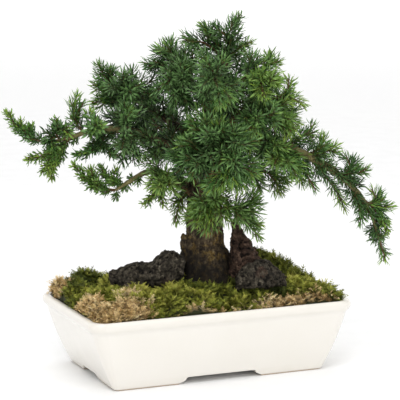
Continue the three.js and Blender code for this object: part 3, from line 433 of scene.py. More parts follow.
limbs = {name: (bent_through(route), radii) for name, (radii, route) in LIMB_ROUTES.items()}
trunk_route, trunk_radii = limbs["trunk"]
stem_parts = [tube(trunk_route, trunk_radii, 20, 4, 0.05, 3)]
stump = Route([(8, 3, 27), (8, 3, 64)])
stem_parts.append(tube(stump, [14.6, 14.6], 24, 6))
stem_parts.append(tube(bent_through(FOOT_FLARE[0]), FOOT_FLARE[1], 20, 4, 0.06, 8))
stem_parts.append(tube(bent_through(BROKEN_STUB[0]), BROKEN_STUB[1], 9, 3, 0.22, 4))
for spot, thickness in ROOTS:
    heart = np.array([8, 2, 74])
    foot = np.array(spot, float)
    shoulder = heart + (foot - heart) * 0.6 + np.array([0, 0, 0.5])
    stem_parts.append(tube(bent_through([heart, shoulder, foot], 8), [9, thickness * 1.2, thickness * 0.6],
                           10, 3, 0.1, int(2 * thickness)))
for limb, share, way, thickness in SNAGS:
    route, radii = limbs[limb]
    start = route.at(share)
    radius = np.interp(share, np.linspace(0, 1, len(radii)), radii)
    reach = np.array(way, float) / np.linalg.norm(way) * radius
    broken = [thickness, thickness * 0.95, thickness * 0.7, thickness * 0.2]
    stem_parts.append(tube(Route([start, start + reach * 0.6 + np.array(way)]), broken, 9, 3, 0.2, 5))
for name, (route, radii) in limbs.items():
    if name != "trunk":
        stem_parts.append(tube(route, radii, 10, 4, 0.10, len(name)))
wood_parts = [(np.array(points), faces) for points, faces in stem_parts]
wood_points, wood_faces = gathered(wood_parts)
tree_wood = add_mesh("trunk_and_limbs", plant_place(wood_points), wood_faces)


def remeshed(piece, grain):
    """One closed skin over all that the piece is made of, with faces of the given size."""
    step = piece.modifiers.new("remesh", "REMESH")
    step.mode, step.voxel_size, step.use_smooth_shade = "VOXEL", grain * MM, True
    return bake_modifiers(piece)


def coordinates(mesh, what="co"):
    """Places or normals of a mesh's vertices, in millimetres or as unit vectors."""
    numbers = np.empty(len(mesh.vertices) * 3)
    if what == "co":
        mesh.vertices.foreach_get("co", numbers)
        return numbers.reshape(-1, 3) / MM
    mesh.vertex_normals.foreach_get("vector", numbers)
    return numbers.reshape(-1, 3)


def move_vertices(mesh, places):
    mesh.vertices.foreach_set("co", (np.asarray(places) * MM).ravel())
    mesh.update()


def ridged(x, y, z, octaves=3):
    """Noise folded into ridges, from 0 in a groove to 1 on a ridge."""
    return sum((1 - 2 * abs(noise.noise(Vector((x, y, z)) * 2 ** o))) / 2 ** (o + 1) for o in range(octaves))


def mark_vertices(mesh, name, values):
    """Keeps a number for each vertex, for the material to read."""
    layer = mesh.attributes.new(name, "FLOAT", "POINT")
    layer.data.foreach_set("value", np.asarray(values, np.float32))


remeshed(tree_wood, WOOD_GRAIN)
places, normals = coordinates(tree_wood.data), coordinates(tree_wood.data, what="normal")
trunk_points = plant_place(trunk_route.at(np.linspace(0, 1, 60))) / MM
lift, groove, outer = np.zeros(len(places)), np.zeros(len(places)), np.zeros(len(places))
for i, place_now in enumerate(places):
    height = place_now[2]
    nearest = np.interp(height, trunk_points[:, 2], trunk_points[:, 0]), np.interp(
        height, trunk_points[:, 2], trunk_points[:, 1])
    away = (place_now[0] - nearest[0], place_now[1] - nearest[1])
    distance = math.hypot(*away)
    thick = min(1, max(0, 1.4 - abs(distance - 13) / 14)) if height < 185 else 0.25
    turn = math.atan2(away[1], away[0]) + 0.012 * height
    strip = ridged(math.cos(turn) * 4.5, math.sin(turn) * 4.5, height * 0.09, 3)
    spot = Vector(place_now)
    warped = Vector((spot.x, spot.y, spot.z * 0.7)) + noise.noise_vector(spot * 0.16) * 2.2
    near, _ = noise.voronoi(warped * 0.36)
    plate = min(1, (near[1] - near[0]) * 3.4)
    flake = ridged(*(spot * 0.42), 2) - 0.4
    swell = noise.noise(spot * 0.06)
    groove[i] = 0.5 * plate + 0.5 * strip
    outer[i] = min(1, max(0, (distance - 34) / 22))
    if thick <= 0.3:
        lift[i] = 0.3 * flake
    elif height > SOIL_LEVEL:
        lift[i] = thick * (1.0 * (strip - 0.45) + 0.75 * (plate - 0.6) + 0.7 * flake + 1.1 * swell)
move_vertices(tree_wood.data, places + normals * lift[:, None])
mark_vertices(tree_wood.data, "groove", groove)
mark_vertices(tree_wood.data, "outer", outer)



def marked(tree, mark):
    """The number that mark_vertices kept, as a pattern."""
    return add_node(tree, "ShaderNodeAttribute", {"attribute_name": mark}).outputs["Fac"]


bark, tree, shader, place = new_finish("flaking_bark", 0.85, 0.3)
grooves = marked(tree, "groove")
outward = marked(tree, "outer")
strips = speckle(tree, place, 330, 7, 0.72, (1, 1, 0.6))
blotches = speckle(tree, place, 190, 6, 0.7)
old_bark = grade(tree, strips, [(0.34, (0.016, 0.011, 0.008)), (0.46, (0.065, 0.045, 0.027)),
                                (0.56, (0.15, 0.108, 0.060)), (0.70, (0.38, 0.30, 0.19))])
ochre = grade(tree, strips, [(0.32, (0.06, 0.036, 0.010)), (0.5, (0.25, 0.155, 0.040)),
                             (0.68, (0.62, 0.45, 0.18))])
peeled = grade(tree, blotches, [(0.52, 0), (0.60, 0.9)])
colour = blend(tree, peeled, old_bark, ochre)
parts = add_node(tree, "ShaderNodeSeparateXYZ", Vector=place).outputs
# Painted shade: the bark is darkened towards the trunk's foot, down among the rocks and moss.
low = add_node(tree, "ShaderNodeMapRange", Value=parts["Z"], From_Min=0.078, From_Max=0.097,
               To_Min=0.16, To_Max=1)
shaded_side = add_node(tree, "ShaderNodeMapRange", Value=parts["X"], From_Min=-0.003, From_Max=0.009,
                       To_Min=0.5, To_Max=1.05)
colour = blend(tree, 1.0, colour, low.outputs[0], "MULTIPLY")
colour = blend(tree, 1.0, colour, shaded_side.outputs[0], "MULTIPLY")
# Painted shade: the bark is darkened down in its grooves.
depth = grade(tree, grooves, [(0.12, (0.12, 0.10, 0.09)), (0.45, 1)])
colour = blend(tree, 0.9, colour, depth, "MULTIPLY")
green_bark = grade(tree, strips, [(0.3, (0.07, 0.065, 0.022)), (0.7, (0.27, 0.235, 0.10))])
paint(shader, blend(tree, outward, colour, green_bark))
relief(tree, shader, [(speckle(tree, place, 1100, 4), 0.5), (strips, 1.0)], 0.0016)
tree_wood.data.materials.append(bark)
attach(tree_wood, "root")
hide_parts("tree_wood")

# ROCKS
# Three lumps of dark scoria, set beside the trunk and half sunk in the moss. The stone is full of
# gas holes, charcoal where it is fresh and rusty on the standing peak, with painted shade in its holes.


def copied(node):
    """A new object with a copy of a node's mesh, to be worked over."""
    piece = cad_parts[node].copy()
    piece.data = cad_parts[node].data.copy()
    piece.data.materials.clear()
    bpy.context.collection.objects.link(piece)
    return piece


def scoria(name, rust):
    material, tree, shader, place = new_finish(name, 0.95, 0.2)
    hollows = marked(tree, "hollow")
    fresh = grade(tree, speckle(tree, place, 300, 6, 0.7), [
        (0.34, (0.009, 0.008, 0.006)), (0.5, (0.044, 0.037, 0.027)), (0.6, (0.105, 0.090, 0.066)),
        (0.74, (0.28, 0.245, 0.185))])
    rusty = grade(tree, speckle(tree, place, 240, 6, 0.7), [
        (0.34, (0.012, 0.008, 0.006)), (0.5, (0.058, 0.034, 0.024)), (0.6, (0.125, 0.078, 0.054)),
        (0.74, (0.30, 0.20, 0.145))])
    where = grade(tree, speckle(tree, place, 55, 3), [(0.62 - rust, 0), (0.74 - rust, 1)])
    # Painted shade: the stone is darkened down in its holes and hollows.
    painted_hollow_shade = grade(tree, hollows, [(0.05, 1), (0.75, (0.12, 0.11, 0.11))])
    paint(shader, blend(tree, 0.95, blend(tree, where, fresh, rusty), painted_hollow_shade, "MULTIPLY"))
    small_holes = add_node(tree, "ShaderNodeTexVoronoi", Vector=place, Scale=900).outputs["Distance"]
    relief(tree, shader, [(speckle(tree, place, 1300, 5, 0.7), 0.6), (small_holes, 0.8)], 0.0012)
    return material


STONE_GRAIN = 0.8
scoria_black, scoria_rust = scoria("scoria_charcoal", 0.0), scoria("scoria_rust", 0.3)
ROCK_FINISHES = {"rock_left_slab": scoria_black, "rock_peak": scoria_rust, "rock_right_slab": scoria_black}
for node, finish in ROCK_FINISHES.items():
    rock = copied(node)
    rock.name = node.replace("rock", "lava")
    remeshed(rock, STONE_GRAIN)
    places, normals = coordinates(rock.data), coordinates(rock.data, what="normal")
    lift, hollow = np.zeros(len(places)), np.zeros(len(places))
    for i, spot in enumerate(places):
        here = Vector(spot)
        warped = here + noise.noise_vector(here * 0.13) * 2.4
        cells, _ = noise.voronoi(warped * 0.11)
        chips, _ = noise.voronoi(warped * 0.3)
        crag = cells[0] - 0.5
        chip = chips[0] - 0.45
        gas = noise.noise(warped * 0.34) + 0.6 * noise.noise(warped * 0.7)
        hole = min(1, max(0, -gas - 0.16) * 2.6)
        grit = ridged(*(here * 0.9), 2) - 0.4
        hollow[i] = min(1, hole + max(0, -grit) * 0.6 + max(0, -chip) * 0.5 + max(0, -crag) * 0.5)
        lift[i] = 2.6 * crag + 1.7 * chip + 0.7 * grit - 1.3 * hole + 0.1
        if node == "rock_peak":
            lift[i] += 2.4 * max(0, normals[i][0] * 0.92 - normals[i][1] * 0.39)
    move_vertices(rock.data, places + normals * lift[:, None])
    mark_vertices(rock.data, "hollow", hollow)
    rock.data.materials.append(finish)
    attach(rock, "root")
    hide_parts(node)

# MOSS
# A quilt of live feather moss, yellow-green on its cushions and olive between them, with three
# patches that have dried to straw. Each cushion is a mass of arching, feathery shoots. Painted shade
# darkens the moss between the cushions and each shoot towards its foot.


def mossy(name, seedling):
    """Green fronds and straw ones, the marks "tint" for how bright and "dry" for which."""
    material, tree, shader, place = new_finish(name, 0.7, 0.25)
    marks = {mark: marked(tree, mark)
             for mark in ("along", "tint", "dry")}
    fine = speckle(tree, place, 420 + seedling, 4)
    green = grade(tree, marks["tint"], [(0.0, (0.034, 0.050, 0.009)), (0.35, (0.125, 0.155, 0.022)),
                                        (0.7, (0.34, 0.37, 0.050)), (1.0, (0.62, 0.60, 0.13))])
    straw = grade(tree, marks["tint"], [(0.0, (0.27, 0.165, 0.062)), (0.4, (0.74, 0.53, 0.24)),
                                        (1.0, (1.0, 0.84, 0.50))])
    frond = blend(tree, marks["dry"], green, straw)
    frond = blend(tree, grade(tree, fine, [(0.35, 0.75), (0.6, 0)]), frond,
                  blend(tree, 1.0, frond, (0.55, 0.5, 0.4), "MULTIPLY"))
    # Painted shade: each frond darkens towards its foot, and the bed under the fronds stays nearly black.
    shade_at_foot = grade(tree, marks["along"], [(0.0, 0), (0.75, 1)])
    paint(shader, blend(tree, shade_at_foot, (0.013, 0.014, 0.005), frond))
    relief(tree, shader, [(speckle(tree, place, 1200, 3), 0.4)], 0.0006)
    shader.inputs["Subsurface Weight"].default_value = 0.1
    shader.inputs["Subsurface Radius"].default_value = (0.001, 0.0015, 0.0005)
    return material


def triangle_corners(mesh):
    mesh.calc_loop_triangles()
    corners = np.empty(len(mesh.loop_triangles) * 3, int)
    mesh.loop_triangles.foreach_get("vertices", corners)
    return corners.reshape(-1, 3)


def scattered(mesh, count, draw, least_up=0.05):
    """Random places on a mesh, in millimetres, with the normal there."""
    corners, places = triangle_corners(mesh), coordinates(mesh)
    a, b, c = (places[corners[:, k]] for k in range(3))
    cross = np.cross(b - a, c - a)
    area = np.linalg.norm(cross, axis=1)
    normals = cross / np.maximum(area, 1e-9)[:, None]
    weight = area * (normals[:, 2] > least_up)
    chosen = draw.choice(len(corners), count, p=weight / weight.sum())
    u, v = draw.random(count), draw.random(count)
    flip = u + v > 1
    u[flip], v[flip] = 1 - u[flip], 1 - v[flip]
    spots = a[chosen] + (b - a)[chosen] * u[:, None] + (c - a)[chosen] * v[:, None]
    return spots, normals[chosen]


def square_to(ahead):
    """Two directions square to each of a row of directions."""
    helper = np.where(np.abs(ahead[:, 2:]) > 0.9, [[1.0, 0, 0]], [[0, 0, 1.0]])
    side = np.cross(helper, ahead)
    side /= np.linalg.norm(side, axis=1, keepdims=True)
    return side, np.cross(ahead, side)


def unit(rows):
    return rows / np.maximum(np.linalg.norm(rows, axis=1, keepdims=True), 1e-9)


def fronds(spots, ways, heights, leaf, shade, dry, draw, around=2, levels=7, spread=60, width=0.36, arch=0.6):
    """Feathery shoots that arch over: pairs or whorls of leaves along an arching line, a triangle each."""
    side, third = square_to(ways)
    turn = draw.random(len(spots)) * math.tau
    fall = np.cos(turn)[:, None] * side + np.sin(turn)[:, None] * third
    fall = unit(fall + ways * (1, 1, 0) * 0.8 - np.array([0, 0, 0.3]))
    wing = unit(np.cross(ways, fall))
    points, along, tint, dried = [], [], [], []
    for level in range(levels + 1):
        share = (level + 0.25) / (levels + 0.25)
        foot = spots + ways * (heights * share)[:, None] + fall * (heights * arch * share ** 2)[:, None]
        ahead = unit(ways + fall * 2 * arch * share)
        for k in range(around if level < levels else 1):
            angle = k * math.tau / around + (0.5 if around > 2 else 0) * level
            out = np.cos(angle) * wing + np.sin(angle) * np.cross(ahead, wing)
            lean = math.radians(spread - 24 * share) if level < levels else 0
            way = out * math.sin(lean) + ahead * math.cos(lean) + draw.normal(0, 0.14, out.shape)
            size = (leaf * (1.15 - 0.65 * share) * draw.uniform(0.7, 1.3, len(spots)))[:, None]
            across = unit(np.cross(way, np.cross(ahead, wing) + out * 0.01)) * leaf * width * 0.5
            points.append(np.stack([foot - across, foot + across, foot + way * size], 1))
            along.append(np.tile([share * 0.75, share * 0.75, share * 0.75 + 0.3], (len(spots), 1)))
            tint.append(np.repeat(shade[:, None], 3, 1) + [0, 0, 0.12])
            dried.append(np.repeat(dry[:, None], 3, 1))
    points = np.concatenate(points).reshape(-1, 3)
    faces = np.arange(len(points)).reshape(-1, 3)
    marks = {"along": along, "tint": tint, "dry": dried}
    return points, faces, {mark: np.concatenate(values).ravel() for mark, values in marks.items()}


def add_marked_mesh(name, batches, smooth=True):
    """One mesh of several batches of points, triangles and marks for the material."""
    points = np.concatenate([batch[0] for batch in batches])
    starts = np.cumsum([0] + [len(batch[0]) for batch in batches])
    faces = np.concatenate([batch[1] + start for batch, start in zip(batches, starts)])
    mesh = bpy.data.meshes.new(name)
    mesh.vertices.add(len(points))
    mesh.vertices.foreach_set("co", (points * MM).ravel())
    mesh.loops.add(len(faces) * 3)
    mesh.loops.foreach_set("vertex_index", faces.ravel())
    mesh.polygons.add(len(faces))
    mesh.polygons.foreach_set("loop_start", np.arange(0, len(faces) * 3, 3))
    mesh.update(calc_edges=True)
    for mark in batches[0][2]:
        mark_vertices(mesh, mark, np.concatenate([batch[2][mark] for batch in batches]))
    mesh.polygons.foreach_set("use_smooth", [smooth] * len(faces))
    piece = bpy.data.objects.new(name, mesh)
    bpy.context.collection.objects.link(piece)
    return piece


# Places on the pot: the middle and the half sizes along x and y, in millimetres. RISES adds a height.
DRIED_AT = [(-84, -48, 34, 23), (-93, -20, 13, 20), (60, -54, 36, 12), (-96, 38, 8, 15), (0, -57, 62, 4.5),
            (-64, -20, 7, 8)]
BRIGHT_AT = [(-46, -28, 32, 20), (-86, 8, 16, 22), (76, -22, 24, 20), (0, -46, 44, 9), (-80, 12, 14, 14)]
DARK_AT = [(34, -34, 30, 12), (-84, 36, 12, 20)]
RISES = [((-94, 30, 18, 30), 7), ((-64, 48, 26, 12), 3), ((62, 18, 13, 11), 10), ((46, -26, 18, 8), 5)]


def within(places, x, y):
    """1 in the middle of one of the places, 0.5 on its border and 0 well outside."""
    nearest = min(math.hypot((x - at_x) / half_x, (y - at_y) / half_y)
                  for at_x, at_y, half_x, half_y in places)
    return min(1, max(0, 1.5 - nearest))


def cushion_at(x, y):
    """Middle of the cushion that a place belongs to, and how near to it the place is."""
    flat = Vector((x, y, 0))
    flat += noise.noise_vector(flat * 0.08) * 4
    distances, middles = noise.voronoi(flat * 0.072)
    return middles[0] / 0.072, 1 - min(1, distances[0] / 0.7) ** 2


live_moss, dried_moss = mossy("live_moss", 0), mossy("dried_moss", 60)
MOSS_PIECES = {  # node: its piece, its finish and how many fronds it has
    "moss_green": ("feather_moss", live_moss, 8600),
    "moss_dry_front_left": ("straw_moss_front_left", dried_moss, 2500),
    "moss_dry_back_left": ("straw_moss_back_left", dried_moss, 900),
    "moss_dry_front_right": ("straw_moss_front_right", dried_moss, 1700),
}
STAR_TUFTS = [(68, 30), (72, 26), (80, 19), (83, 15), (83, -6), (90, -10), (40, 34), (-80, 44), (-64, 48)]
MAT_HALF_LENGTH, MAT_HALF_WIDTH = 98.6, 55.0       # the mat stays this far in, up to LIP_TOP
LIP_TOP, OVER_LIP = 54.6, 4.5                      # above it, fronds may lean this much further out
BED_GRAIN, CUSHION_RISE, BED_SINK, BED_LUMPS = 1.8, 5.0, 5.8, 1.6
FROND_HEIGHTS, FROND_LEAF = (3.2, 7.0), 2.7
STAR_HEIGHTS, STAR_LEAF, STARS_IN_TUFT, TUFT_SPREAD = (7, 11), 4.4, 5, 2.2
middle = POT_MIDDLE / MM
for order, (node, (name, finish, count)) in enumerate(MOSS_PIECES.items()):
    bed = remeshed(copied(node), BED_GRAIN)
    draw = np.random.default_rng(300 + order)
    places, normals = coordinates(bed.data), coordinates(bed.data, what="normal")
    lift = np.zeros(len(places))
    for i, spot in enumerate(places):
        if normals[i][2] > 0.1:
            x, y = spot[0] - middle[0], spot[1] - middle[1]
            _, near = cushion_at(x, y)
            rise = CUSHION_RISE * near - BED_SINK + BED_LUMPS * noise.noise(Vector((x, y, 0)) * 0.3)
            rise += sum(height * within([area], x, y) for area, height in RISES)
            lift[i] = rise * min(1, normals[i][2] * 1.5)
    places[:, 2] += lift
    move_vertices(bed.data, places)
    # The bed's low along mark gives it the painted shade of the frond feet.
    levels = {"along": 0.12, "tint": 0.2, "dry": 0.0}
    marks = {mark: np.full(len(places), level) for mark, level in levels.items()}
    batches = [(places, triangle_corners(bed.data), marks)]
    spots, ways = scattered(bed.data, count, draw, 0.3)
    heights, shade, dry = np.zeros(count), np.zeros(count), np.zeros(count)
    for i, spot in enumerate(spots):
        x, y = spot[0] - middle[0], spot[1] - middle[1]
        heart, near = cushion_at(x, y)
        out = np.array([x - heart[0], y - heart[1], 0]) / 9
        ways[i] = ways[i] * 0.4 + out * 0.42 + draw.normal(0, 0.36, 3) + (0, 0, 0.55)
        heights[i] = draw.uniform(*FROND_HEIGHTS) * (0.65 + 0.45 * near)
        patch = noise.noise(Vector((heart[0], heart[1], 3)) * 0.37)
        dry[i] = draw.random() < 3 * (within(DRIED_AT, x, y) + 0.3 * patch + 0.15 * noise.noise(
            Vector((x, y, 9)) * 0.2) - 0.5) + 0.04
        # Brighter on cushion middles and darker between cushions, partly moss colour and partly painted
        # shade; BRIGHT_AT and DARK_AT make places brighter or darker.
        shade[i] = (0.22 + 0.34 * near + 0.34 * within(BRIGHT_AT, x, y) - 0.26 * within(DARK_AT, x, y)
                    + 0.5 * patch + draw.normal(0, 0.13))
    batches.append(fronds(spots - unit(ways) * 0.5, unit(ways), heights, FROND_LEAF, np.clip(shade, 0, 1),
                          dry, draw))
    if node == "moss_green":
        stars = []
        for x, y in STAR_TUFTS:
            near = np.argmin(np.hypot(spots[:, 0] - middle[0] - x, spots[:, 1] - middle[1] - y))
            for _ in range(STARS_IN_TUFT):
                stars.append(spots[near] + draw.normal(0, TUFT_SPREAD, 3) * (1, 1, 0.2))
        stars = np.array(stars)
        upright = unit(np.array([0, 0, 1.0]) + draw.normal(0, 0.2, stars.shape))
        batches.append(fronds(stars, upright, draw.uniform(*STAR_HEIGHTS, len(stars)), STAR_LEAF,
                              np.full(len(stars), 0.5), np.zeros(len(stars)), draw,
                              around=6, levels=5, spread=60, width=0.2, arch=0.1))
    bpy.data.objects.remove(bed)
    for points, _, _ in batches:
        low = points[:, 2] < LIP_TOP
        for axis, half in ((0, MAT_HALF_LENGTH), (1, MAT_HALF_WIDTH)):
            points[low, axis] = np.clip(points[low, axis], middle[axis] - half, middle[axis] + half)
            points[:, axis] = np.clip(points[:, axis], middle[axis] - half - OVER_LIP,
                                      middle[axis] + half + OVER_LIP)
    piece = add_marked_mesh(name, batches)
    piece.data.materials.append(finish)
    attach(piece, "root")
    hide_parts(node)

# FOLIAGE
# Juniper needles in whorls of three, up every green shoot: stiff awls 5 to 9 mm long that curve
# forward, deep green with a blue bloom on the upper side, a painted highlight on their edges and painted
# shade towards their feet and deep in the crown. Each spray grows from its own limb.
SHOOT_KINDS = {  # needle length and width, lean in degrees, whorl pitch, longest side sprig, sprigs per 10 mm
    "dense": (9.0, 1.15, 47, 1.75, 25, 2.0), "long": (9.6, 1.1, 47, 1.8, 21, 1.8),
    "mid": (7.4, 1.1, 43, 1.6, 15, 2.2), "slim": (7.4, 1.1, 43, 1.6, 9, 2.3),
    "short": (4.9, 1.4, 42, 1.4, 9, 3.7), "leafy": (7.6, 1.8, 46, 1.9, 9, 2.8),
}
SPRAYS = [  # name, limb it leaves, share of that limb's length, then each shoot's tip and kind
    ("left_tip", "left_long", 1.0, [(-142, -18, 200, "short"), (-133, -14, 191, "short"),
        (-124, -10, 187, "short")]),
    ("left_low", "left_long", 0.85, [(-109, -12, 143, "short"), (-116, -24, 151, "short"),
        (-111, -18, 148, "short"), (-128, -22, 162, "short")]),
    ("left_mid_up", "left_long", 0.92, [(-103, -6, 191, "short"), (-106, -22, 168, "leafy"),
        (-90, -24, 183, "leafy")]),
    ("left_tall", "left_long", 0.77, [(-88, -10, 214, "slim"), (-82, -12, 207, "slim")]),
    ("left_rosette", "left_long", 0.67, [(-69, -42, 192, "leafy"), (-77, -30, 184, "leafy"),
        (-80, -20, 201, "leafy")]),
    ("left_inner", "left_long", 0.49, [(-49, -30, 203, "dense"), (-43, -16, 157, "dense")]),
    ("left_under", "left_long", 0.65, [(-57, -20, 161, "short"), (-93, -16, 163, "short"),
        (-83, -17, 167, "short"), (-69, -16, 168, "short")]),
    ("left_up", "left_up", 1.0, [(-76, 10, 233, "mid"), (-62, 18, 229, "mid")]),
    ("left_up_in", "left_up", 0.86, [(-57, 2, 218, "mid"), (-46, -25, 212, "dense"),
        (-24, -8, 206, "dense")]),
    ("left_up_back", "left_up", 0.79, [(-64, 34, 196, "mid"), (-81, 10, 216, "mid"),
        (-82, 10, 200, "mid")]),
    ("crown_left", "top_left", 1.0, [(-24, -8, 250, "long")]),
    ("crown_far_left", "top_left", 0.72, [(-34, 6, 245, "long"), (-41, -2, 229, "mid")]),
    ("crown_left_front", "top_left", 0.62, [(-24, -38, 220, "dense"), (-6, -12, 200, "dense"),
        (-8, -34, 234, "dense"), (-14, -30, 204, "dense")]),
    ("top_left_sprig", "trunk", 0.95, [(2, 2, 264, "slim"), (-13, -2, 251, "long")]),
    ("apex", "trunk", 1.0, [(33, 4, 271, "mid"), (17, -6, 259, "long")]),
    ("top_right_sprig", "trunk", 0.97, [(45, -4, 250, "slim")]),
    ("top_front", "top_front", 1.0, [(6, -52, 242, "dense"), (21, -56, 205, "dense")]),
    ("top_back", "top_back", 1.0, [(29, 58, 237, "dense")]),
    ("right_top", "top_right", 1.0, [(66, -8, 235, "slim"), (55, 4, 240, "slim")]),
    ("right_top_front", "top_right", 0.7, [(50, -44, 211, "dense"), (64, -34, 224, "long")]),
    ("right_crown", "right_mid", 1.0, [(85, -16, 201, "slim"), (70, -10, 225, "slim")]),
    ("right_crown_low", "right_mid", 0.74, [(73, -38, 183, "dense")]),
    ("right_crown_front", "right_mid", 0.57, [(38, -50, 185, "dense"), (60, -48, 198, "long")]),
    ("right_up_a", "right_long", 0.37, [(91, -10, 189, "mid")]),
    ("right_up_b", "right_long", 0.47, [(108, -20, 173, "mid"), (98, -16, 182, "mid")]),
    ("right_up_c", "right_long", 0.64, [(131, -26, 157, "slim"), (112, -16, 168, "mid"),
        (122, -20, 159, "slim")]),
    ("right_out", "right_long", 0.81, [(150, -20, 126, "slim"), (131, -20, 144, "slim"),
        (141, -20, 134, "slim"), (144, -24, 105, "short")]),
    ("right_end", "right_long", 1.0, [(143, -20, 84, "slim")]),
    ("right_hang", "right_long", 0.9, [(134, -12, 96, "slim")]),
    ("right_drop_b", "right_long", 0.73, [(123, -27, 110, "slim")]),
    ("right_drop_a", "right_long", 0.48, [(114, -13, 119, "slim")]),
    ("right_under", "right_long", 0.3, [(92, -22, 136, "slim"), (82, -16, 138, "slim")]),
    ("right_under_front", "right_long", 0.29, [(59, -46, 160, "long"), (79, -35, 150, "long")]),
    ("right_low", "right_low", 1.0, [(75, 18, 137, "mid"), (65, 6, 128, "mid")]),
    ("right_low_in", "right_low", 0.64, [(50, -6, 134, "mid")]),
    ("low_right", "front_low", 1.0, [(51, -30, 101, "slim"), (51, -28, 111, "slim"),
        (50, -36, 137, "long"), (32, -42, 136, "long"), (42, -20, 119, "slim")]),
    ("low_front", "front_low", 0.63, [(2, -42, 113, "slim"), (26, -46, 124, "long"),
        (-3, -38, 133, "long"), (13, -44, 134, "long"), (-9, -38, 115, "long"), (11, -42, 115, "slim")]),
    ("front_hang", "front", 1.0, [(29, -64, 148, "long"), (49, -60, 155, "long"), (36, -46, 143, "long"),
        (8, -50, 140, "long"), (22, -52, 144, "long")]),
    ("front_left", "front", 0.63, [(-8, -52, 153, "dense"), (-13, -46, 182, "dense"),
        (-24, -40, 166, "dense")]),
    ("front_up", "front", 0.81, [(13, -58, 197, "dense"), (-4, -46, 200, "dense"),
        (46, -60, 178, "long")]),
    ("low_left_tip", "left_low", 1.0, [(-92, -26, 162, "short"), (-75, -32, 145, "short"),
        (-79, -27, 159, "short")]),
    ("low_left_mid", "left_low", 0.9, [(-73, -14, 158, "short"), (-59, -16, 157, "short")]),
    ("low_left_hang", "left_low", 0.4, [(-25, -24, 125, "short"), (-40, -20, 126, "short")]),
    ("low_trunk", "trunk", 0.43, [(-18, -8, 109, "mid")]),
    ("low_left_front", "left_low", 0.43, [(-17, -46, 144, "dense"), (-36, -36, 149, "mid")]),
    ("back_top", "back", 1.0, [(25, 80, 187, "dense"), (13, 70, 141, "long"), (22, 60, 212, "dense")]),
    ("back_left", "back_left", 1.0, [(-45, 72, 182, "dense"), (-22, 64, 147, "long"),
        (-40, 52, 206, "dense")]),
    ("back_right", "back_right", 1.0, [(75, 68, 182, "dense"), (52, 62, 147, "long"),
        (62, 50, 210, "dense")]),
]
FORK_PLACE = 0.24      # where the other shoots of a spray leave its first one
TIP_ROOM = 0.55        # how far the last needles reach past a shoot's end, as a share of their length


def bowed(start, middle, end):
    t = np.linspace(0, 1, 24)[:, None]
    start, middle, end = (np.array(p, float) for p in (start, middle, end))
    return Route(start * (1 - t) ** 2 + 2 * middle * t * (1 - t) + end * t ** 2)


def main_shoot(start, heading, tip, room):
    """Leaves along its parent and bends over to its tip."""
    tip = np.array(tip, float)
    length = np.linalg.norm(tip - start)
    tip = tip - (tip - start) / length * room
    lead = heading * 0.45 + (tip - start) * 0.55 / length
    return bowed(start, start + lead / np.linalg.norm(lead) * length * 0.5, tip)


def side_sprig(shoot, share, reach, spread, around):
    start, forward = shoot.at(share), shoot.heading(share)
    side, third = square_to(forward[None])
    out = side[0] * math.cos(around) + third[0] * math.sin(around)
    first = forward * math.cos(spread) + out * math.sin(spread)
    middle = start + first * reach * 0.55
    return bowed(start, middle, middle + first * reach * 0.3 + forward * reach * 0.22)


def needles_on(route, bare, kind, share_of_length, age, draw, whorl=3):
    """Foot, way, outward direction, length, width, place on the shoot and shade of each of its needles."""
    length, width, lean, pitch, _, _ = SHOOT_KINDS[kind]
    count = max(2, int(route.length * (1 - bare) / pitch))
    shares = bare + (1 - bare) * (np.arange(count) + draw.uniform(-0.2, 0.2, count)) / (count - 0.4)
    shares, start = np.repeat(np.clip(shares, 0, 1), whorl), np.repeat(np.arange(count), whorl)
    ahead = route.heading(shares)
    side, third = square_to(ahead)
    angle = start * math.pi / whorl + np.tile(np.arange(whorl), count) * math.tau / whorl
    angle = angle + draw.normal(0, 0.13, len(angle)) + draw.random() * math.tau
    out = np.cos(angle)[:, None] * side + np.sin(angle)[:, None] * third
    near_tip = np.clip((shares - 0.8) / 0.2, 0, 1)
    tilt = np.radians(lean * (1 - 0.55 * near_tip) + draw.normal(0, 4, len(angle)))[:, None]
    way = out * np.sin(tilt) + ahead * np.cos(tilt)
    size = share_of_length * length * draw.uniform(0.82, 1.1, len(angle)) * (1 - 0.25 * near_tip)
    widths = width * draw.uniform(0.85, 1.1, len(angle)) * (1 - 0.15 * near_tip)
    # The age lowers a needle's shade mark: older growth, and painted shade deep in the crown.
    shade = np.full(len(angle), draw.random() - age)
    return route.at(shares) + out * 0.35, way, out, size, widths, shares, shade


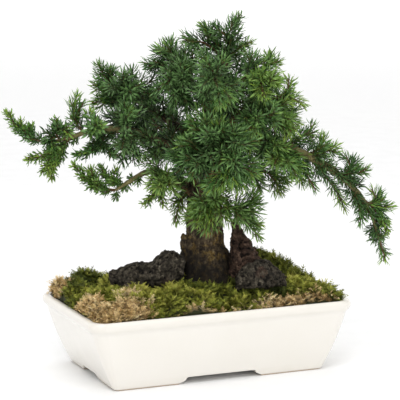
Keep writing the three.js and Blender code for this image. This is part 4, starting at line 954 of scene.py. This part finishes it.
def needle_batch(sets, draw, youth_and_shade):
    """Bowed awls, keeled below and flat above: a foot, two rings of three corners and a point."""
    foot, way, out, size, width, shares, shade = (np.concatenate(part) for part in zip(*sets))
    across = unit(np.cross(way, out))
    back = np.cross(across, way)
    size, half = size[:, None], width[:, None] / 2
    bow = size * draw.uniform(0.06, 0.13, (len(size), 1))
    waist, shoulder = foot + way * size * 0.3 + back * bow * 0.85, foot + way * size * 0.68 + back * bow * 0.8
    points = np.stack([
        foot, waist - across * half * 0.9, waist + across * half * 0.9, waist + back * half * 0.7,
        shoulder - across * half * 0.85, shoulder + across * half * 0.85, shoulder + back * half * 0.55,
        foot + way * size], 1).reshape(-1, 3)
    pattern = np.array([(0, 1, 2), (1, 4, 5), (1, 5, 2), (4, 7, 5), (0, 3, 1), (0, 2, 3),
                        (1, 3, 6), (1, 6, 4), (2, 5, 6), (2, 6, 3), (4, 6, 7), (5, 7, 6)])
    faces = (np.arange(len(size))[:, None, None] * 8 + pattern).reshape(-1, 3)
    # Needles are lighter towards their sprig's tip: younger growth and less painted shade.
    light = 0.18 * draw.random(len(size)) + 0.42 * shade + 0.45 * shares + youth_and_shade
    # The margin mark puts the pale bloom and a painted highlight along each needle's edges, a little at its
    # point.
    marks = {"along": np.tile([0.0, 0.3, 0.3, 0.3, 0.68, 0.68, 0.68, 1.0], len(size)),
             "margin": np.tile([0.0, 1.0, 1.0, 0.0, 1.0, 1.0, 0.0, 0.7], len(size)),
             "tint": np.repeat(np.clip(light, 0, 1), 8)}
    return points, faces, marks


def twig_batch(routes):
    parts, age = [], []
    for route, thick, thin in routes:
        points, faces = tube(route, [thick, thin], 4, 7, 0.1, 1)
        faces = [face for face in faces if len(face) == 4]
        triangles = [(a, b, c) for a, b, c, _ in faces] + [(a, c, d) for a, _, c, d in faces]
        parts.append((np.array(points), triangles))
        age.append(np.full(len(points), 1.0 if thick > 1 else 0.2))
    points, faces = gathered(parts)
    return points, np.array(faces), {"along": np.full(len(points), -1.0), "margin": np.zeros(len(points)),
                                     "tint": np.concatenate(age)}


def foliage_finish(name, foot, old_and_shaded, leaf, young, bloom_and_highlight):
    material, tree, shader, place = new_finish(name, 0.45, 0.3)
    marks = {mark: marked(tree, mark)
             for mark in ("along", "tint", "margin")}
    patches = add_node(tree, "ShaderNodeMapRange", Value=speckle(tree, place, 30, 3), From_Min=0.3,
                       From_Max=0.7, To_Min=-0.22, To_Max=0.22)
    tint = add_node(tree, "ShaderNodeMath", {"operation": "ADD", "use_clamp": True})
    tree.links.new(marks["tint"], tint.inputs[0])
    tree.links.new(patches.outputs[0], tint.inputs[1])
    body = grade(tree, tint.outputs[0], [(0.1, old_and_shaded), (0.5, leaf), (0.98, young)])
    # Bloom and painted highlight: the needles pale towards their edges.
    body = blend(tree, grade(tree, marks["margin"], [(0.5, 0), (1.0, 0.5)]), body, bloom_and_highlight)
    # Painted shade: each needle darkens towards its foot.
    body = blend(tree, grade(tree, marks["along"], [(0.0, 0), (0.5, 1)]), foot, body)
    twig = blend(tree, marks["tint"], grade(tree, speckle(tree, place, 160, 3), [
        (0.35, (0.040, 0.048, 0.012)), (0.65, (0.12, 0.13, 0.035))]), (0.12, 0.068, 0.030))
    paint(shader, blend(tree, grade(tree, marks["along"], [(0.0, 1), (0.001, 0)]), body, twig))
    relief(tree, shader, [(speckle(tree, place, 1500, 2), 0.2)], 0.0003)
    shader.inputs["Coat Weight"].default_value = 0.06
    shader.inputs["Coat Roughness"].default_value = 0.3
    return material


# The first colour is painted shade at the needles' feet, the second old growth darkened by painted shade, the
# last the bloom with a painted highlight.
deep_green = foliage_finish("juniper_needles", (0.010, 0.018, 0.003), (0.004, 0.019, 0.003),
                            (0.036, 0.120, 0.018), (0.23, 0.35, 0.032), (0.21, 0.38, 0.125))
paler_low_green = foliage_finish("young_juniper_needles", (0.026, 0.042, 0.006), (0.018, 0.058, 0.006),
                           (0.075, 0.17, 0.019), (0.27, 0.36, 0.042), (0.24, 0.40, 0.12))
sprays, limb_shares = [], {}
for name, limb, share, ends in SPRAYS:
    shoots = []
    for *tip, kind in ends:
        parent, leave = (shoots[0][0], FORK_PLACE) if shoots else (limbs[limb][0], share)
        room = TIP_ROOM * SHOOT_KINDS[kind][0]
        shoots.append((main_shoot(parent.at(leave), parent.heading(leave), tip, room), kind))
    sprays.append((name, shoots))
    limb_shares.setdefault(limb, []).append((share, name, shoots[0][1]))


def clothed(sprig, kind, age, draw, sets, twigs, small_ones):
    """Needles up a sprig, and up the smaller ones that leave it."""
    sets.append(needles_on(sprig, 0.08, kind, 0.95, age, draw))
    twigs.append((sprig, 0.6, 0.3))
    turn = draw.random() * math.tau
    for k in range(small_ones):
        share = 0.18 + 0.6 * (k + 0.5 * draw.random()) / small_ones
        reach = sprig.length * draw.uniform(0.4, 0.6) * (1.15 - 0.6 * share)
        small = side_sprig(sprig, share, reach, math.radians(draw.uniform(34, 54)),
                           turn + k * math.radians(137.5) + draw.uniform(-0.4, 0.4))
        sets.append(needles_on(small, 0.08, kind, 0.88, age, draw))
        twigs.append((small, 0.4, 0.25))


def grow(shoot, kind, draw, sets, twigs):
    """Side sprigs up a shoot, long near its foot and short near its tip."""
    longest, crowd = SHOOT_KINDS[kind][4:]
    count = max(3, round(shoot.length * 0.1 * crowd))
    turn = draw.random() * math.tau
    for j in range(count):
        share = 0.04 + 0.88 * (j + 0.8 * draw.random()) / count
        reach = (3.5 + (longest - 3.5) * (1 - share) ** 0.85) * draw.uniform(0.8, 1.15)
        around = turn + j * math.radians(137.5) + draw.uniform(-0.3, 0.3)
        sprig = side_sprig(shoot, share, reach, math.radians(draw.uniform(32, 52)), around)
        small_ones = 3 if reach > 17 else 2 if reach > 11 else 1 if reach > 7 else 0
        # Sprigs near a shoot's foot are darker: older growth, and painted shade inside the crown.
        clothed(sprig, kind, 0.9 - 1.1 * share, draw, sets, twigs, small_ones)


BARE_STRETCHES = {"left_long": (0.72, 0.80), "left_low": (0.45, 0.72), "trunk": (0, 0.5),
                  "front_low": (0, 0.2)}
FIRST_SPRIG, SPRIG_SPACING = 0.09, 4.2
limb_sprigs = {}
for order, (limb, owners) in enumerate(limb_shares.items()):
    draw = np.random.default_rng(6000 + order)
    route = limbs[limb][0]
    bare_from, bare_to = BARE_STRETCHES.get(limb, (0, 0))
    count = int(route.length * (1 - FIRST_SPRIG) / SPRIG_SPACING)
    for j in range(count):
        share = FIRST_SPRIG + (1 - FIRST_SPRIG) * (j + 0.6 * draw.random()) / count
        if bare_from <= share <= bare_to:
            continue
        _, name, kind = min(owners, key=lambda owner: abs(owner[0] - share))
        reach = SHOOT_KINDS[kind][4] * draw.uniform(0.7, 1.05)
        sprig = side_sprig(route, share, reach, math.radians(draw.uniform(48, 78)), draw.uniform(0, math.tau))
        limb_sprigs.setdefault(name, []).append((sprig, kind))


YOUTH_AND_SHADE = {  # how much paler than the rest a spray is with young growth; below 0, how much darker with painted shade
    "right_up_a": 0.15, "right_up_b": 0.2, "right_under_front": 0.2, "right_low": 0.1, "right_out": 0.1,
    "right_top": 0.35, "right_crown": 0.3, "top_right_sprig": 0.25, "right_top_front": 0.3,
    "low_front": 0.12, "low_left_front": 0.15, "front_hang": 0.12, "left_tip": 0.25, "left_tall": 0.15,
    "left_rosette": 0.1, "crown_left_front": -0.3, "left_up_in": -0.25, "crown_far_left": -0.15,
    "left_inner": -0.2, "front_left": -0.15,
}
for order, (name, shoots) in enumerate(sprays):
    draw = np.random.default_rng(7000 + order)
    sets, twigs = [], []
    for shoot, kind in shoots:
        sets.append(needles_on(shoot, 0.12, kind, 1, 0, draw))
        twigs.append((shoot, 1.15, 0.5))
        grow(shoot, kind, draw, sets, twigs)
    for sprig, kind in limb_sprigs.get(name, []):
        # Sprigs straight off the limbs are darkest: painted shade deep inside the crown, and older growth.
        clothed(sprig, kind, 1.0, draw, sets, twigs, 3)
    batches = [needle_batch(sets, draw, YOUTH_AND_SHADE.get(name, 0)), twig_batch(twigs)]
    batches = [(plant_place(points) / MM, faces, marks) for points, faces, marks in batches]
    piece = add_marked_mesh("needles_" + name, batches, smooth=False)
    # Sprays named low get a paler copy of the needle finish, with less painted shade at the feet and in old
    # growth.
    low = "low" in name
    piece.data.materials.append(paler_low_green if low else deep_green)
    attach(piece, "root")
    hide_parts("spray_" + name)

# TABLE, LIGHT AND CAMERA
# The tree stands on a wide sheet of white paper that curves up all round, far off, where it glows
# as painted light. A large soft window lights it from above the camera, a little left, with a weaker
# one on the right. The lens is long.
PAPER_RADIUS, PAPER_BEND, SECTORS = 3.2, 0.5, 64
paper_rows = [(0.02, 0), (0.8, 0), (1.6, 0), (PAPER_RADIUS, 0)]
for a in np.linspace(0.15, math.pi / 2, 10):
    paper_rows.append((PAPER_RADIUS + PAPER_BEND * math.sin(a), PAPER_BEND - PAPER_BEND * math.cos(a)))
paper_rows.append((PAPER_RADIUS + PAPER_BEND, 1.1))
around = np.arange(SECTORS) * math.tau / SECTORS
paper_rings = [[(radius * math.cos(a), radius * math.sin(a), z) for a in around] for radius, z in paper_rows]
paper_points, paper_faces = loft(paper_rings, closed=False)
paper_faces.append(tuple(range(SECTORS)))
paper = add_mesh("paper", paper_points, paper_faces)
white_paper, tree, shader, place = new_finish("white_paper", 0.9, 0.1)
paint(shader, grade(tree, speckle(tree, place, 40, 2), [(0.3, 0.9), (0.7, 0.93)]))
# The far paper glows, as painted light, so that the backdrop reads evenly white; near the tree it does not.
far_off = add_node(tree, "ShaderNodeVectorMath", {"operation": "LENGTH"}, Vector=place).outputs["Value"]
spread_out = add_node(tree, "ShaderNodeMapRange", Value=far_off, From_Min=0.9, From_Max=3.4).outputs[0]
tree.links.new(grade(tree, spread_out, [(0.0, 0), (1.0, 0.36)]), shader.inputs["Emission Color"])
shader.inputs["Emission Strength"].default_value = 1
paper.data.materials.append(white_paper)

world = bpy.data.worlds.new("studio")
bpy.context.scene.world = world
world.use_nodes = True
world.node_tree.nodes["Background"].inputs["Color"].default_value = (1, 1, 1, 1)
world.node_tree.nodes["Background"].inputs["Strength"].default_value = 0.74


def soft_light(name, azimuth, elevation, distance, size, power):
    """A square light turned to the tree; azimuth is from the camera's right, round the back."""
    around = PLANT_TURN + math.radians(azimuth)
    lamp = bpy.data.lights.new(name, "AREA")
    lamp.shape, lamp.size, lamp.energy = "SQUARE", size, power
    light = bpy.data.objects.new(name, lamp)
    bpy.context.collection.objects.link(light)
    up = math.radians(elevation)
    spot = Vector((math.cos(around) * math.cos(up), math.sin(around) * math.cos(up), math.sin(up))) * distance
    light.location = spot + Vector((0, 0, 0.12))
    light.rotation_euler = spot.to_track_quat("Z", "Y").to_euler()


soft_light("window", 256, 52, 1.5, 0.8, 8.1)
soft_light("reflector", 318, 30, 1.7, 1.0, 3.5)
soft_light("top_light", 90, 72, 1.6, 1.2, 7.2)

CAMERA_AIM = (3.25, 0, 127.9)                       # a place on the tree, as plant_place takes it
CAMERA_TILT, CAMERA_REACH = math.radians(10.11), 1.555
LENS_LENGTH, SENSOR_WIDTH = 185.9, 36
aim = plant_place([CAMERA_AIM])[0]
away = np.array([-math.sin(PLANT_TURN), math.cos(PLANT_TURN), 0])
lens = bpy.data.cameras.new("camera")
lens.lens, lens.sensor_width, lens.clip_start = LENS_LENGTH, SENSOR_WIDTH, 0.05
camera = bpy.data.objects.new("camera", lens)
camera.location = Vector(aim - away * math.cos(CAMERA_TILT) * CAMERA_REACH
                         + np.array([0, 0, 1]) * math.sin(CAMERA_TILT) * CAMERA_REACH)
camera.rotation_euler = (camera.location - Vector(aim)).to_track_quat("Z", "Y").to_euler()
bpy.context.collection.objects.link(camera)
bpy.context.scene.camera = camera
bpy.context.scene.view_settings.view_transform = "Standard"
